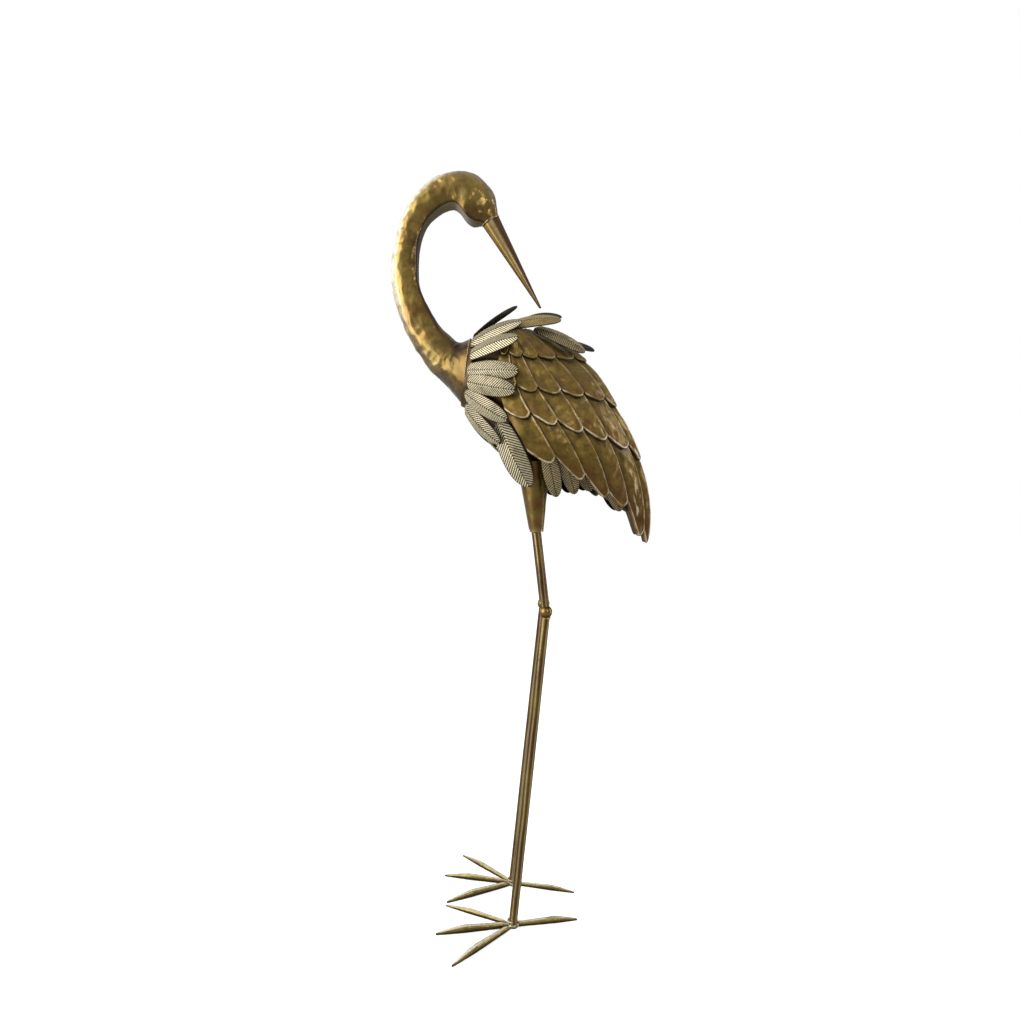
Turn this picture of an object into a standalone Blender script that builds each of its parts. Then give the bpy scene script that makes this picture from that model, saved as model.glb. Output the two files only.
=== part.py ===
"""A standing crane for the garden, built from painted sheet iron and rod.

Metres, +Z up. The crane looks along -X, its left side is -Y, and it stands on Z = 0 with the
origin midway between its feet. Free forms are given as shares of the crane's height, so that
pose and proportions stay together. Everything that is cut, bent or turned from stock has its
own real size.
"""

import math

import bmesh
import bpy
import numpy as np
from mathutils import Vector

# Driving sizes
HEIGHT = 1.0
STANCE_SHIFT = -0.0085
CLEARANCE = 0.0003
SHEET = 0.0011
WING_SHEET = 0.0016

# Leaf feathers, as cut from sheet. Each ends at its root in a narrow tab, which bends down to
# what carries the leaf
LEAF_LENGTH = 0.074
LEAF_WIDTH = 0.0250
LEAF_FOLD = 0.0026
LEAF_TAB_WIDTH = 0.0070
LEAF_BOW = 0.05
LEAF_ROOT_SHARE = 0.60
LEAF_WIDEST = 0.5
LEAF_ROUNDING = 2.4
LEAF_TIP_SHARE = 0.12
BREAST_LEAF_WIDTH = 0.035
BELLY_LEAF_WIDTH = 0.022
COLLAR_LAYER = 0.0044
COLLAR_STAND_OFF = 0.0032
COLLAR_SET_BACK = 0.0028

# Rod, knee and toes
UPPER_ROD_RADIUS = 0.0057
LOWER_ROD_RADIUS = 0.0060
ANKLE_RADIUS = 0.0056
KNEE_RADIUS = 0.0086
ROD_SET_BACK = 0.0010
ROD_TAPER_START = 0.55
WELD_RADIUS = 0.0066
WELD_HEIGHT = 0.007
WELD_NECK_HEIGHT = 0.0126

# A toe's radius at shares of its length: thick at the knuckle, pointed at the tip. At the weld the
# front toes are thin, because they meet each other there
FRONT_TOE_ROOT_RADIUS = 0.0019
HIND_TOE_ROOT_RADIUS = 0.0036
TOE_PROFILE = (
    (0.0, FRONT_TOE_ROOT_RADIUS),
    (0.09, 0.0034),
    (0.35, 0.0039),
    (0.60, 0.0045),
    (0.74, 0.0036),
    (0.90, 0.0023),
    (1.0, 0.0011),
)

# Toes, drawn out by hand, so that left and right differ: turn from -X in degrees, length, and
# thickness as a share of the profile's
TOE_TURNS = {"outer": (44.3, 42.8), "middle": (9.4, 11.3), "inner": (-24.1, -24.6), "hind": (-171.6, -166.9)}
TOE_LENGTHS = {"outer": (0.105, 0.1075), "middle": (0.1025, 0.104), "inner": (0.1025, 0.1025), "hind": (0.0865, 0.0895)}
TOE_SHARES = {"outer": (1.0, 0.80), "middle": (1.06, 0.95), "inner": (0.75, 1.05), "hind": (0.96, 0.80)}

# Beak: its eight edges are four ridges and, between them, four corners that lie at these shares of
# the half depth and half width
BEAK_LENGTH = 0.132
BEAK_BASE_DEPTH = 0.0256
BEAK_BASE_WIDTH = 0.0175
BEAK_TIP_RADIUS = 0.0015
BEAK_SLOPE = math.radians(59.8)
BEAK_CORNER = (0.55, 0.72)

# Shares of the height: the seam where neck and body meet
SEAM_CENTRE = (-0.0658, 0.7352)
SEAM_DEPTH = 0.0440
SEAM_WIDTH = 0.0385
SEAM_TILT = math.radians(6)

# Shares of the height, from the seam to the tail: middle (x, z), half depth, half width. The wings
# lie on the body where it is widest
BODY_HALF_WIDTH = 0.0600
BODY_STATIONS = (
    (-0.0360, 0.7270, 0.0520, 0.0490),
    (0.0070, 0.7070, 0.0650, BODY_HALF_WIDTH - 0.0010),
    (0.0470, 0.6730, 0.0670, BODY_HALF_WIDTH),
    (0.0880, 0.6370, 0.0450, 0.0430),
    (0.1220, 0.5970, 0.0260, 0.0225),
    (0.1430, 0.5640, 0.0120, 0.0120),
    (0.1510, 0.5500, 0.0030, 0.0030),
)

# Shares of the height, from the seam to the beak: outer edge (x, z), inner edge (x, z), half width
NECK_STATIONS = (
    (-0.0925, 0.7166, -0.0745, 0.7752, 0.0300),
    (-0.1147, 0.7378, -0.0850, 0.7822, 0.0245),
    (-0.1428, 0.7801, -0.1038, 0.8013, 0.0195),
    (-0.1624, 0.8329, -0.1263, 0.8434, 0.0162),
    (-0.1661, 0.8710, -0.1301, 0.8710, 0.0157),
    (-0.1618, 0.9064, -0.1273, 0.9064, 0.0154),
    (-0.1482, 0.9481, -0.1170, 0.9320, 0.0157),
    (-0.1242, 0.9793, -0.1000, 0.9475, 0.0172),
    (-0.0980, 0.9950, -0.0845, 0.9540, 0.0196),
    (-0.0720, 0.9996, -0.0750, 0.9500, 0.0214),
    (-0.0480, 0.9918, -0.0640, 0.9362, 0.0212),
    (-0.0290, 0.9710, -0.0535, 0.9302, 0.0165),
    (-0.0231, 0.9416, -0.0442, 0.9291, 0.0092),
)

# The neck's inner side is pressed flat, where a strip closes it: how wide the flat is, as the
# cosine at its edges, and how the flat comes and goes between the seam and the beak
STRIP_EDGE = 0.62
STRIP_START = 0.04
STRIP_RUN = 0.22
STRIP_FADE = 0.10
STRIP_LEFT_AT_BEAK = 0.35

# The wing, drawn flat in its own frame, in shares of the height: u runs down the feathers from
# WING_TOP, v across them from the front edge to the back edge
WING_ORIGIN = (0.0178, 0.7756)
WING_SLOPE = math.radians(61)
WING_TOP = -0.012
WING_FRONT = -0.0758
WING_BACK = 0.0568
WING_COLUMN_EDGES = tuple(-0.0482 + 0.02376 * k for k in range(5))

# Each feather row ends in round tips: where the tip before the first column and those of the six
# columns lie. A feather's tip is lowest at WING_TIP_PEAK of its width, and rises again to its edge
WING_ROW_STARTS = ((0.0100, 0.0104), (0.0520, 0.0160), (0.0925, 0.0231))
WING_ROW_ENDS = tuple(tuple(first + more * k for k in range(-1, 6)) for first, more in WING_ROW_STARTS)
WING_LAST_ENDS = (0.1281, 0.1541, 0.1901, 0.2261, 0.2501, 0.2970, 0.3100)
WING_TIP_PEAK = 0.7
WING_TIP_RISE = 0.005

# How the flat wing curves: rounded at the shoulder, swept forward at the tail
WING_SHOULDER_BACK_RUN = 0.107
WING_SHOULDER_BACK = 0.041
WING_SHOULDER_BACK_POWER = 2.2
WING_SHOULDER_FRONT_RUN = 0.084
WING_SHOULDER_FRONT = 0.032
WING_SWEEP_START = 0.154
WING_SWEEP_RUN = 0.103
WING_SWEEP = 0.0165
WING_TAIL_SWEEP = 0.0008

# How far the wing stands out sideways, from the shoulder to the tail, and how its back edge wraps
# over the body
WING_STAND_OFF = 0.0125
WING_HALF_SPAN = BODY_HALF_WIDTH + WING_STAND_OFF
WING_TAIL_SPAN = 0.0230
WING_TAPER_START = 0.13
WING_TAPER_RUN = 0.175
WING_SHOULDER_TUCK = 0.008
WING_FRONT_TUCK = 0.004
WING_WRAP = math.radians(81)

# The pressed relief of the wing's feathers
WING_STEP = 0.0022
WING_SIDE_STEP = 0.0014
WING_PILLOW = 0.0012
WING_EDGE_RUN = 0.0008

# Collar leaves in pairs: angle around the seam from the top, and that which the leaf's ridge faces,
# slope of the left and of the right leaf seen from the side, how far the tips stand out sideways,
# and how deep the tabs bend
COLLAR_LEAVES = (
    (48, 48, 21, 33, 14, 0.0017),
    (75, 60, 16, 17, 26, 0.0054),
    (94, 94, -5, -4, 27, 0.0002),
    (109.5, 107, -14, -15, 28, 0.0043),
    (129.5, 119, -34.5, -34.5, 25, 0.0),
    (152, 134, -47, -47, 20.5, 0.0031),
)
THROAT_SLOPE = -52
THROAT_STAND_OFF = 0.0038
THROAT_BOW = 0.01

# The crest is the one leaf that is bent up over the others. It stands on the seam, right of the
# middle; its root as shares of the height
CREST_SET_BACK = 0.0048
CREST_STAND_OFF = 0.0023
CREST_ASIDE = 0.0120
CREST_ROOT = (SEAM_CENTRE[0] + CREST_SET_BACK, CREST_ASIDE, SEAM_CENTRE[1] + SEAM_DEPTH + CREST_STAND_OFF)

# Leaves on the back, each bent its own way: name, how far it rolls outwards, how far it bows, how
# deep its tab bends, and its tip and root as shares of the height
BACK_LEAVES = (
    ("crest_feather", 5, 0.03, 0.0040, (0.0020, 0.0160, 0.8275), CREST_ROOT),
    ("back_feather_1_left", -45, 0.05, 0.0006, (0.0580, -0.0330, 0.7980), (-0.0130, -0.0330, 0.7884)),
    ("back_feather_1_right", 12, 0.15, 0.0030, (0.0640, 0.0340, 0.8180), (-0.0150, 0.0395, 0.7885)),
    ("back_feather_2_left", -45, 0.04, 0.0015, (0.0900, -0.0270, 0.7580), (0.0240, -0.0290, 0.7880)),
    ("back_feather_2_right", 8, 0.06, 0.0030, (0.1090, 0.0270, 0.7700), (0.0440, 0.0280, 0.7808)),
)

# Leaf pairs: tip (x, y, z) and root (x, y, z) on the left side, as shares of the height. Three belly
# pairs hang inside the wing's edge, the last one under the tail
BREAST_PAIR = ((0.0180, -0.0410, 0.5830), (-0.0225, -0.0412, 0.6680))
BELLY_PAIRS = (
    ((0.0520, 0.0225 - WING_HALF_SPAN, 0.5700), (0.0370, 0.0028 - WING_HALF_SPAN, 0.6350)),
    ((0.0760, 0.0285 - WING_HALF_SPAN, 0.5735), (0.0560, 0.0048 - WING_HALF_SPAN, 0.6370)),
    ((0.0970, 0.0385 - WING_HALF_SPAN, 0.5770), (0.0710, 0.0103 - WING_HALF_SPAN, 0.6360)),
    ((0.1390, -0.0155, 0.5500), (0.1168, -0.0315, 0.6110)),
)

# Which way the ridges of those leaves look, and how little the belly leaves bow
BREAST_FACE = (-0.35, -0.90, -0.25)
BELLY_FACE = (0, -1, -0.2)
BELLY_BOW = 0.02

# Left leg, as shares of the height
HIP = (0.0237, -0.0226, 0.6150)
THIGH_FOOT = (0.0276, -0.0252, 0.5235)
THIGH_TOP_RADIUS = 0.0216
THIGH_FOOT_RADIUS = 0.0088
KNEE = (0.0397, -0.0298, 0.4180)

# Each foot where its welds stand, as shares of the height
ANKLES = {"left": (-0.0030, -0.0430), "right": (-0.0028, 0.0480)}

# Facets
BODY_SIDES = 18
BODY_RINGS = 14
NECK_SIDES = 14
NECK_RINGS = 27
ROD_SIDES = 12
TOE_SIDES = 8
BEAK_CUTS = (0.0, 0.12, 0.5, 1.0)
WING_COLUMN_CUTS = (0.0, 0.35, 0.75, 1.0)
WING_ROW_CUTS = (0.0, 0.4, 0.8, 1.0)
LEAF_CUTS = (0.0, 0.09, 0.25, 0.48, 0.7, 0.88, 1.0)


def clear_scene():
    """Remove every object of the open scene."""
    for item in list(bpy.data.objects):
        bpy.data.objects.remove(item, do_unlink=True)


def new_collection(name):
    """Return a fresh collection linked to the scene."""
    group = bpy.data.collections.new(name)
    bpy.context.scene.collection.children.link(group)
    return group


def paint(name, colour, roughness, metallic):
    """Return a plain Principled material."""
    material = bpy.data.materials.new(name)
    material.use_nodes = True
    shader = material.node_tree.nodes["Principled BSDF"]
    shader.inputs["Base Color"].default_value = (*colour, 1.0)
    shader.inputs["Roughness"].default_value = roughness
    shader.inputs["Metallic"].default_value = metallic
    return material


def add_stance(group):
    """The empty that carries every piece, so that the crane's box is centred over the origin."""
    stance = bpy.data.objects.new("stance", None)
    stance.location.x = STANCE_SHIFT * HEIGHT
    group.objects.link(stance)
    return stance


def add_mesh(name, bm, group, material, smooth_angle=35):
    """Turn a bmesh into a named object with its faces pointing out."""
    bmesh.ops.recalc_face_normals(bm, faces=bm.faces)
    mesh = bpy.data.meshes.new(name)
    bm.to_mesh(mesh)
    bm.free()
    mesh.shade_smooth()
    mesh.set_sharp_from_angle(angle=math.radians(smooth_angle))
    mesh.materials.append(material)
    item = bpy.data.objects.new(name, mesh)
    item.parent = bpy.data.objects["stance"]
    group.objects.link(item)
    return item


def loft(name, rings, group, material):
    """Skin a row of closed rings that have equal counts, and cap both ends."""
    bm = bmesh.new()
    rows = [[bm.verts.new(point) for point in ring] for ring in rings]
    count = len(rows[0])
    for row, following in zip(rows, rows[1:]):
        for i in range(count):
            j = (i + 1) % count
            bm.faces.new((row[i], row[j], following[j], following[i]))
    bm.faces.new(rows[0][::-1])
    bm.faces.new(rows[-1])
    return add_mesh(name, bm, group, material)


def smooth_rows(rows, count):
    """Read `count` rows evenly from a Catmull-Rom curve through the given rows."""
    rows = np.asarray(rows, float)
    padded = np.vstack([2 * rows[0] - rows[1], rows, 2 * rows[-1] - rows[-2]])
    picked = []
    for place in np.linspace(0, len(rows) - 1, count):
        i = min(int(place), len(rows) - 2)
        t = place - i
        a, b, c, d = padded[i : i + 4]
        picked.append(
            0.5 * (2 * b + (c - a) * t + (2 * a - 5 * b + 4 * c - d) * t**2 + (3 * b - 3 * c + d - a) * t**3)
        )
    return np.array(picked)


def seam_axes():
    """Return the seam's unit vectors in the median plane: back along the body, and up."""
    along = Vector((math.cos(SEAM_TILT), 0, -math.sin(SEAM_TILT)))
    up = Vector((math.sin(SEAM_TILT), 0, math.cos(SEAM_TILT)))
    return along, up


def seam_ring(sides, shift):
    """Return the seam's ellipse, moved back along the body by `shift`."""
    along, up = seam_axes()
    centre = Vector((SEAM_CENTRE[0], 0, SEAM_CENTRE[1])) * HEIGHT + along * shift
    turns = [2 * math.pi * i / sides for i in range(sides)]
    return [
        centre + up * math.cos(a) * SEAM_DEPTH * HEIGHT + Vector((0, math.sin(a), 0)) * SEAM_WIDTH * HEIGHT
        for a in turns
    ]


def body_sections(count):
    """Return the body's rings from the seam to the tail, each square to the body's axis."""
    seam_row = (*SEAM_CENTRE, SEAM_DEPTH, SEAM_WIDTH)
    rows = smooth_rows((seam_row, *BODY_STATIONS), count) * HEIGHT
    slopes = np.gradient(rows[:, :2], axis=0)
    rings = [seam_ring(BODY_SIDES, 0)]
    for (x, z, depth, width), (dx, dz) in zip(rows[1:], slopes[1:]):
        up = Vector((-dz, 0, dx)).normalized()
        turns = [2 * math.pi * i / BODY_SIDES for i in range(BODY_SIDES)]
        rings.append(
            [Vector((x, 0, z)) + up * depth * math.cos(a) + Vector((0, width * math.sin(a), 0)) for a in turns]
        )
    return rings


def build_body(group, material):
    """The closed shell that carries neck, wings, leaves and thighs."""
    return loft("body", body_sections(BODY_RINGS), group, material)


def strip_share(share):
    """How flat the neck's inner side is at a share of its length: round at the seam, then flat."""
    rise = min(max((share - STRIP_START) / STRIP_RUN, 0.0), 1.0)
    fall = min((1 - share) / STRIP_FADE, 1.0)
    return rise * rise * (3 - 2 * rise) * (STRIP_LEFT_AT_BEAK + (1 - STRIP_LEFT_AT_BEAK) * fall)


def build_neck(group, material):
    """Neck and head in one: rounds with one flat side, laid across the neck's two edge lines."""
    rows = smooth_rows(NECK_STATIONS, NECK_RINGS) * HEIGHT
    rings = [seam_ring(NECK_SIDES, -CLEARANCE)]
    for index, (outer_x, outer_z, inner_x, inner_z, width) in enumerate(rows):
        outer = Vector((outer_x, 0, outer_z))
        inner = Vector((inner_x, 0, inner_z))
        middle = (outer + inner) / 2
        half = (inner - outer) / 2
        flat = strip_share(index / (NECK_RINGS - 1))
        ring = []
        for i in range(NECK_SIDES):
            turn = 2 * math.pi * i / NECK_SIDES
            deep = math.cos(turn)
            if deep > 0:
                deep += (min(deep / STRIP_EDGE, 1.0) - deep) * flat
            ring.append(middle + half * deep + Vector((0, width * math.sin(turn), 0)))
        rings.append(ring)
    return loft("neck_and_head", rings, group, material)


def build_beak(group, material):
    """A long cone of four folded faces with a blunt tip, standing off the head by the clearance."""
    outer_x, outer_z, inner_x, inner_z, _ = NECK_STATIONS[-1]
    ahead = Vector((math.cos(BEAK_SLOPE), 0, -math.sin(BEAK_SLOPE)))
    across = Vector((-ahead.z, 0, ahead.x))
    base = Vector((outer_x + inner_x, 0, outer_z + inner_z)) / 2 * HEIGHT + ahead * 2 * CLEARANCE
    deep, wide = BEAK_CORNER
    edges = ((1, 0), (deep, wide), (0, 1), (-deep, wide), (-1, 0), (-deep, -wide), (0, -1), (deep, -wide))
    rings = []
    for share in BEAK_CUTS:
        depth = across * (BEAK_BASE_DEPTH / 2 * (1 - share) + BEAK_TIP_RADIUS * share)
        width = Vector((0, BEAK_BASE_WIDTH / 2 * (1 - share) + BEAK_TIP_RADIUS * share, 0))
        centre = base + ahead * BEAK_LENGTH * share
        rings.append([centre + depth * up + width * aside for up, aside in edges])
    return loft("beak", rings, group, material)


def leaf_outline(share):
    """Half width of a leaf feather, as a share of its greatest, from root 0 to tip 1."""
    rise = LEAF_ROOT_SHARE + (1 - LEAF_ROOT_SHARE) * math.sin(math.pi / 2 * min(share / LEAF_WIDEST, 1))
    fall = math.sqrt(max(0.0, 1 - max(0.0, (share - LEAF_WIDEST) / (1 - LEAF_WIDEST)) ** LEAF_ROUNDING))
    return rise * max(fall, LEAF_TIP_SHARE)


def build_leaf(name, root, tip, face, width, bow, tab, group, material):
    """A leaf folded along its rib, with its ridge towards `face`.

    It bows outwards by a share of its length, and its tab bends down by `tab` at the root.
    """
    chord = tip - root
    ahead = chord.normalized()
    across = face.cross(ahead).normalized()
    out = ahead.cross(across)
    under = out * SHEET
    rings = []
    for share in LEAF_CUTS:
        half = width / 2 * leaf_outline(share)
        ridge = out * LEAF_FOLD * leaf_outline(share)
        centre = root + chord * share + out * bow * chord.length * 4 * share * (1 - share)
        if share == 0:
            half = LEAF_TAB_WIDTH / 2
            ridge = out * LEAF_FOLD * LEAF_TAB_WIDTH / width
            centre -= out * tab
        top = [centre - across * half, centre + ridge, centre + across * half]
        rings.append(top + [point - under for point in reversed(top)])
    return loft(name, rings, group, material)


def build_leaf_pair(name, root, tip, face, width, bow, group, material):
    """The same leaf on the left side and, mirrored, on the right, with a straight tab."""
    for side, flip in (("left", 1), ("right", -1)):
        points = [Vector((p[0], p[1] * flip, p[2])) for p in (root, tip, face)]
        build_leaf(f"{name}_{side}", *points, width, bow, 0.0, group, material)


def build_collar(group, material):
    """Leaves around the seam in two alternating layers, spread like a ruff."""
    along, up = seam_axes()
    seam = Vector((SEAM_CENTRE[0], 0, SEAM_CENTRE[1])) * HEIGHT + along * COLLAR_SET_BACK
    for index, (angle, facing, left_slope, right_slope, spread, tab) in enumerate(COLLAR_LEAVES):
        turn, facing, spread = math.radians(angle), math.radians(facing), math.radians(spread)
        lift = COLLAR_STAND_OFF + COLLAR_LAYER * (index % 2)
        for side, flip, slope in (("left", -1, left_slope), ("right", 1, right_slope)):
            slope = math.radians(slope)
            aside = Vector((0, flip, 0))
            out = up * math.cos(facing) + aside * math.sin(facing)
            root = seam + up * math.cos(turn) * (SEAM_DEPTH * HEIGHT + lift)
            root += aside * math.sin(turn) * (SEAM_WIDTH * HEIGHT + lift)
            lie = Vector((math.cos(slope), 0, math.sin(slope))) * math.cos(spread) + aside * math.sin(spread)
            name = f"collar_feather_{index + 1}_{side}"
            build_leaf(name, root, root + lie * LEAF_LENGTH, out, LEAF_WIDTH, LEAF_BOW, tab, group, material)
    slope = math.radians(THROAT_SLOPE)
    root = seam - up * (SEAM_DEPTH * HEIGHT + THROAT_STAND_OFF)
    tip = root + Vector((math.cos(slope), 0, math.sin(slope))) * LEAF_LENGTH
    build_leaf("collar_feather_throat", root, tip, -up, LEAF_WIDTH, THROAT_BOW, 0.0, group, material)


def build_loose_leaves(group, material):
    """Back, breast and belly leaves, each in its pair."""
    for name, roll, bow, tab, tip, root in BACK_LEAVES:
        root, tip = Vector(root) * HEIGHT, Vector(tip) * HEIGHT
        face = Vector((0, math.sin(math.radians(roll)), math.cos(math.radians(roll))))
        build_leaf(name, root, tip, face, LEAF_WIDTH, bow, tab, group, material)
    tip, root = (Vector(point) * HEIGHT for point in BREAST_PAIR)
    build_leaf_pair(
        "breast_feather", root, tip, Vector(BREAST_FACE), BREAST_LEAF_WIDTH, LEAF_BOW, group, material
    )
    for index, pair in enumerate(BELLY_PAIRS):
        tip, root = (Vector(point) * HEIGHT for point in pair)
        name = f"belly_feather_{index + 1}"
        build_leaf_pair(name, root, tip, Vector(BELLY_FACE), BELLY_LEAF_WIDTH, BELLY_BOW, group, material)


def wing_column(v):
    """Return the feather column that holds v, and how far across it v lies."""
    edges = (WING_FRONT, *WING_COLUMN_EDGES, WING_BACK)
    for column in range(len(edges) - 1):
        if v < edges[column + 1] or column == len(edges) - 2:
            return column, (v - edges[column]) / (edges[column + 1] - edges[column])
    return 0, 0.0


def row_end(row, v):
    """How far down the wing a row of feathers reaches at v: each feather ends in a round tip."""
    column, across = wing_column(v)
    before, end = (*WING_ROW_ENDS, WING_LAST_ENDS)[row][column : column + 2]
    rise = math.sin(math.pi / 2 * min(across / WING_TIP_PEAK, 1))
    fall = max(0.0, (across - WING_TIP_PEAK) / (1 - WING_TIP_PEAK))
    return before + (end - before) * rise - WING_TIP_RISE * fall**2


def wing_place(u, v):
    """Place a point of the flat wing drawing on the curved left wing, in shares of the height."""
    shoulder = max(0.0, 1 - u / WING_SHOULDER_BACK_RUN)
    sweep = max(0.0, u - WING_SWEEP_START) / WING_SWEEP_RUN
    back = WING_BACK - WING_SHOULDER_BACK * shoulder**WING_SHOULDER_BACK_POWER
    front = WING_FRONT + WING_SHOULDER_FRONT * max(0.0, 1 - u / WING_SHOULDER_FRONT_RUN) ** 2
    across = (v - WING_FRONT) / (WING_BACK - WING_FRONT)
    v = front + across * (back - front) - WING_SWEEP * sweep**2 - WING_TAIL_SWEEP * sweep**6
    x = WING_ORIGIN[0] + u * math.cos(WING_SLOPE) + v * math.sin(WING_SLOPE)
    z = WING_ORIGIN[1] - u * math.sin(WING_SLOPE) + v * math.cos(WING_SLOPE)
    ease = min(max((u - WING_TAPER_START) / WING_TAPER_RUN, 0.0), 1.0)
    span = WING_HALF_SPAN + (WING_TAIL_SPAN - WING_HALF_SPAN) * ease * ease * (3 - 2 * ease)
    span -= WING_SHOULDER_TUCK * min(shoulder * 2, 1.0)
    span -= WING_FRONT_TUCK * max(0.0, 1 - across * 4) * min(shoulder * 3, 1.0)
    wrap = WING_WRAP * max(0.0, across) ** 1.5
    return Vector((x, -span * math.cos(wrap), z)) * HEIGHT


def wing_out(u, v):
    """Unit vector square to the wing's surface, away from the body."""
    step = 0.001
    down = wing_place(u + step, v) - wing_place(u - step, v)
    across = wing_place(u, v + step) - wing_place(u, v - step)
    return down.cross(across).normalized()


def wing_relief(across, down):
    """Height of an embossed feather over the sheet at shares across and down its visible part."""
    pillow = 4 * across * (1 - across)
    return WING_STEP * down + WING_SIDE_STEP * across * min(down * 3, 1) + WING_PILLOW * pillow


def build_wing(side, flip, group, material):
    """One pressed sheet: rows of long feathers, each over the next row and its neighbour."""
    edges = (WING_FRONT, *WING_COLUMN_EDGES, WING_BACK)
    cross_cuts = []
    for left, right in zip(edges, edges[1:]):
        for cut in WING_COLUMN_CUTS:
            cross_cuts.append((left + WING_EDGE_RUN + (right - left - WING_EDGE_RUN) * cut, cut))
    outer, inner = [], []
    for v, across in cross_cuts:
        outer_row, inner_row = [], []
        above = WING_TOP
        for row in range(len(WING_ROW_ENDS) + 1):
            end = row_end(row, v - WING_EDGE_RUN / 2)
            for cut in WING_ROW_CUTS:
                u = above + WING_EDGE_RUN + (end - above - WING_EDGE_RUN) * cut
                place, out = wing_place(u, v), wing_out(u, v)
                inner_row.append(place)
                outer_row.append(place + out * (WING_SHEET + wing_relief(across, cut)))
            above = end
        outer.append(outer_row)
        inner.append(inner_row)
    bm = bmesh.new()
    sheets = []
    for rows in (outer, inner):
        sheets.append([[bm.verts.new((p.x, p.y * flip, p.z)) for p in row] for row in rows])
    top, under = sheets
    wide, long = len(top), len(top[0])
    for i in range(wide - 1):
        for j in range(long - 1):
            bm.faces.new((top[i][j], top[i + 1][j], top[i + 1][j + 1], top[i][j + 1]))
            bm.faces.new((under[i][j], under[i][j + 1], under[i + 1][j + 1], under[i + 1][j]))
    rim = [(i, 0) for i in range(wide)] + [(wide - 1, j) for j in range(1, long)]
    rim += [(i, long - 1) for i in range(wide - 2, -1, -1)] + [(0, j) for j in range(long - 2, 0, -1)]
    for (i, j), (k, m) in zip(rim, rim[1:] + rim[:1]):
        bm.faces.new((top[i][j], under[i][j], under[k][m], top[k][m]))
    return add_mesh(f"wing_{side}", bm, group, material)


def build_rod(name, start, end, start_radius, end_radius, group, material):
    """A round rod or cone between two points."""
    start, end = Vector(start), Vector(end)
    ahead = (end - start).normalized()
    side = Vector((0, 1, 0)).cross(ahead).normalized()
    lift = ahead.cross(side)
    rings = []
    for centre, radius in ((start, start_radius), (end, end_radius)):
        turns = [2 * math.pi * (i + 0.5) / ROD_SIDES for i in range(ROD_SIDES)]
        rings.append([centre + side * radius * math.cos(a) + lift * radius * math.sin(a) for a in turns])
    return loft(name, rings, group, material)


def build_thigh(side, hip, foot, group, body_cutter, material):
    """A sheet cone from the belly, cut to the body's shape at its top."""
    thigh = build_rod(
        f"thigh_{side}", hip, foot, THIGH_TOP_RADIUS * HEIGHT, THIGH_FOOT_RADIUS * HEIGHT, group, material
    )
    cut = thigh.modifiers.new("fit to body", "BOOLEAN")
    cut.operation = "DIFFERENCE"
    cut.object = body_cutter
    return thigh


def build_lower_rod(side, knee, ankle, group, material):
    """The long rod, tapered to the ankle, upright over the ground in a short weld."""
    neck = Vector((*ankle, WELD_NECK_HEIGHT))
    start = knee + (neck - knee).normalized() * (KNEE_RADIUS + CLEARANCE)
    rings = []
    spans = (
        (start, LOWER_ROD_RADIUS),
        (start.lerp(neck, ROD_TAPER_START), LOWER_ROD_RADIUS),
        (neck, ANKLE_RADIUS),
        (Vector((*ankle, WELD_HEIGHT)), WELD_RADIUS),
        (Vector((*ankle, 0)), WELD_RADIUS),
    )
    for centre, radius in spans:
        turns = [2 * math.pi * (i + 0.5) / ROD_SIDES for i in range(ROD_SIDES)]
        rings.append([centre + Vector((radius * math.cos(a), radius * math.sin(a), 0)) for a in turns])
    return loft(f"lower_leg_{side}", rings, group, material)


def build_knee(side, centre, group, material):
    """The round ball between the two rods."""
    bm = bmesh.new()
    bmesh.ops.create_uvsphere(bm, u_segments=12, v_segments=8, radius=KNEE_RADIUS)
    bmesh.ops.translate(bm, verts=bm.verts, vec=centre)
    return add_mesh(f"knee_{side}", bm, group, material)


def build_toe(name, ankle, angle, length, thickness, root, group, material):
    """A forged toe lying on the ground: eight-sided, with a flat underside."""
    ahead = Vector((math.cos(angle), math.sin(angle), 0))
    across = Vector((-ahead.y, ahead.x, 0))
    start = WELD_RADIUS + CLEARANCE
    rings = []
    for share, radius in TOE_PROFILE:
        radius = (radius if share > 0 else root) * thickness
        centre = Vector((*ankle, 0)) + ahead * (start + (length - start) * share)
        centre.z = radius * math.cos(math.pi / TOE_SIDES)
        turns = [2 * math.pi * (i + 0.5) / TOE_SIDES for i in range(TOE_SIDES)]
        rings.append([centre + across * radius * math.cos(a) + Vector((0, 0, radius * math.sin(a))) for a in turns])
    return loft(name, rings, group, material)


def build_leg(side, flip, group, body_cutter, materials):
    """Thigh, rods, knee and foot of one leg."""
    hip, thigh_foot, knee = (Vector((p[0], p[1] * flip, p[2])) * HEIGHT for p in (HIP, THIGH_FOOT, KNEE))
    ankle = tuple(v * HEIGHT for v in ANKLES[side])
    build_thigh(side, hip, thigh_foot, group, body_cutter, materials["thigh"])
    run = (knee - thigh_foot).normalized()
    build_rod(
        f"upper_leg_{side}",
        thigh_foot + run * ROD_SET_BACK,
        knee - run * (KNEE_RADIUS + CLEARANCE),
        UPPER_ROD_RADIUS,
        UPPER_ROD_RADIUS,
        group,
        materials["rod"],
    )
    build_knee(side, knee, group, materials["rod"])
    build_lower_rod(side, knee, ankle, group, materials["rod"])
    foot = ("left", "right").index(side)
    for toe, turns in TOE_TURNS.items():
        angle = math.pi + math.radians(turns[foot]) * flip
        length, share = TOE_LENGTHS[toe][foot], TOE_SHARES[toe][foot]
        root = HIND_TOE_ROOT_RADIUS if toe == "hind" else FRONT_TOE_ROOT_RADIUS
        build_toe(f"toe_{toe}_{side}", ankle, angle, length, share, root, group, materials["toe"])


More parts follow.
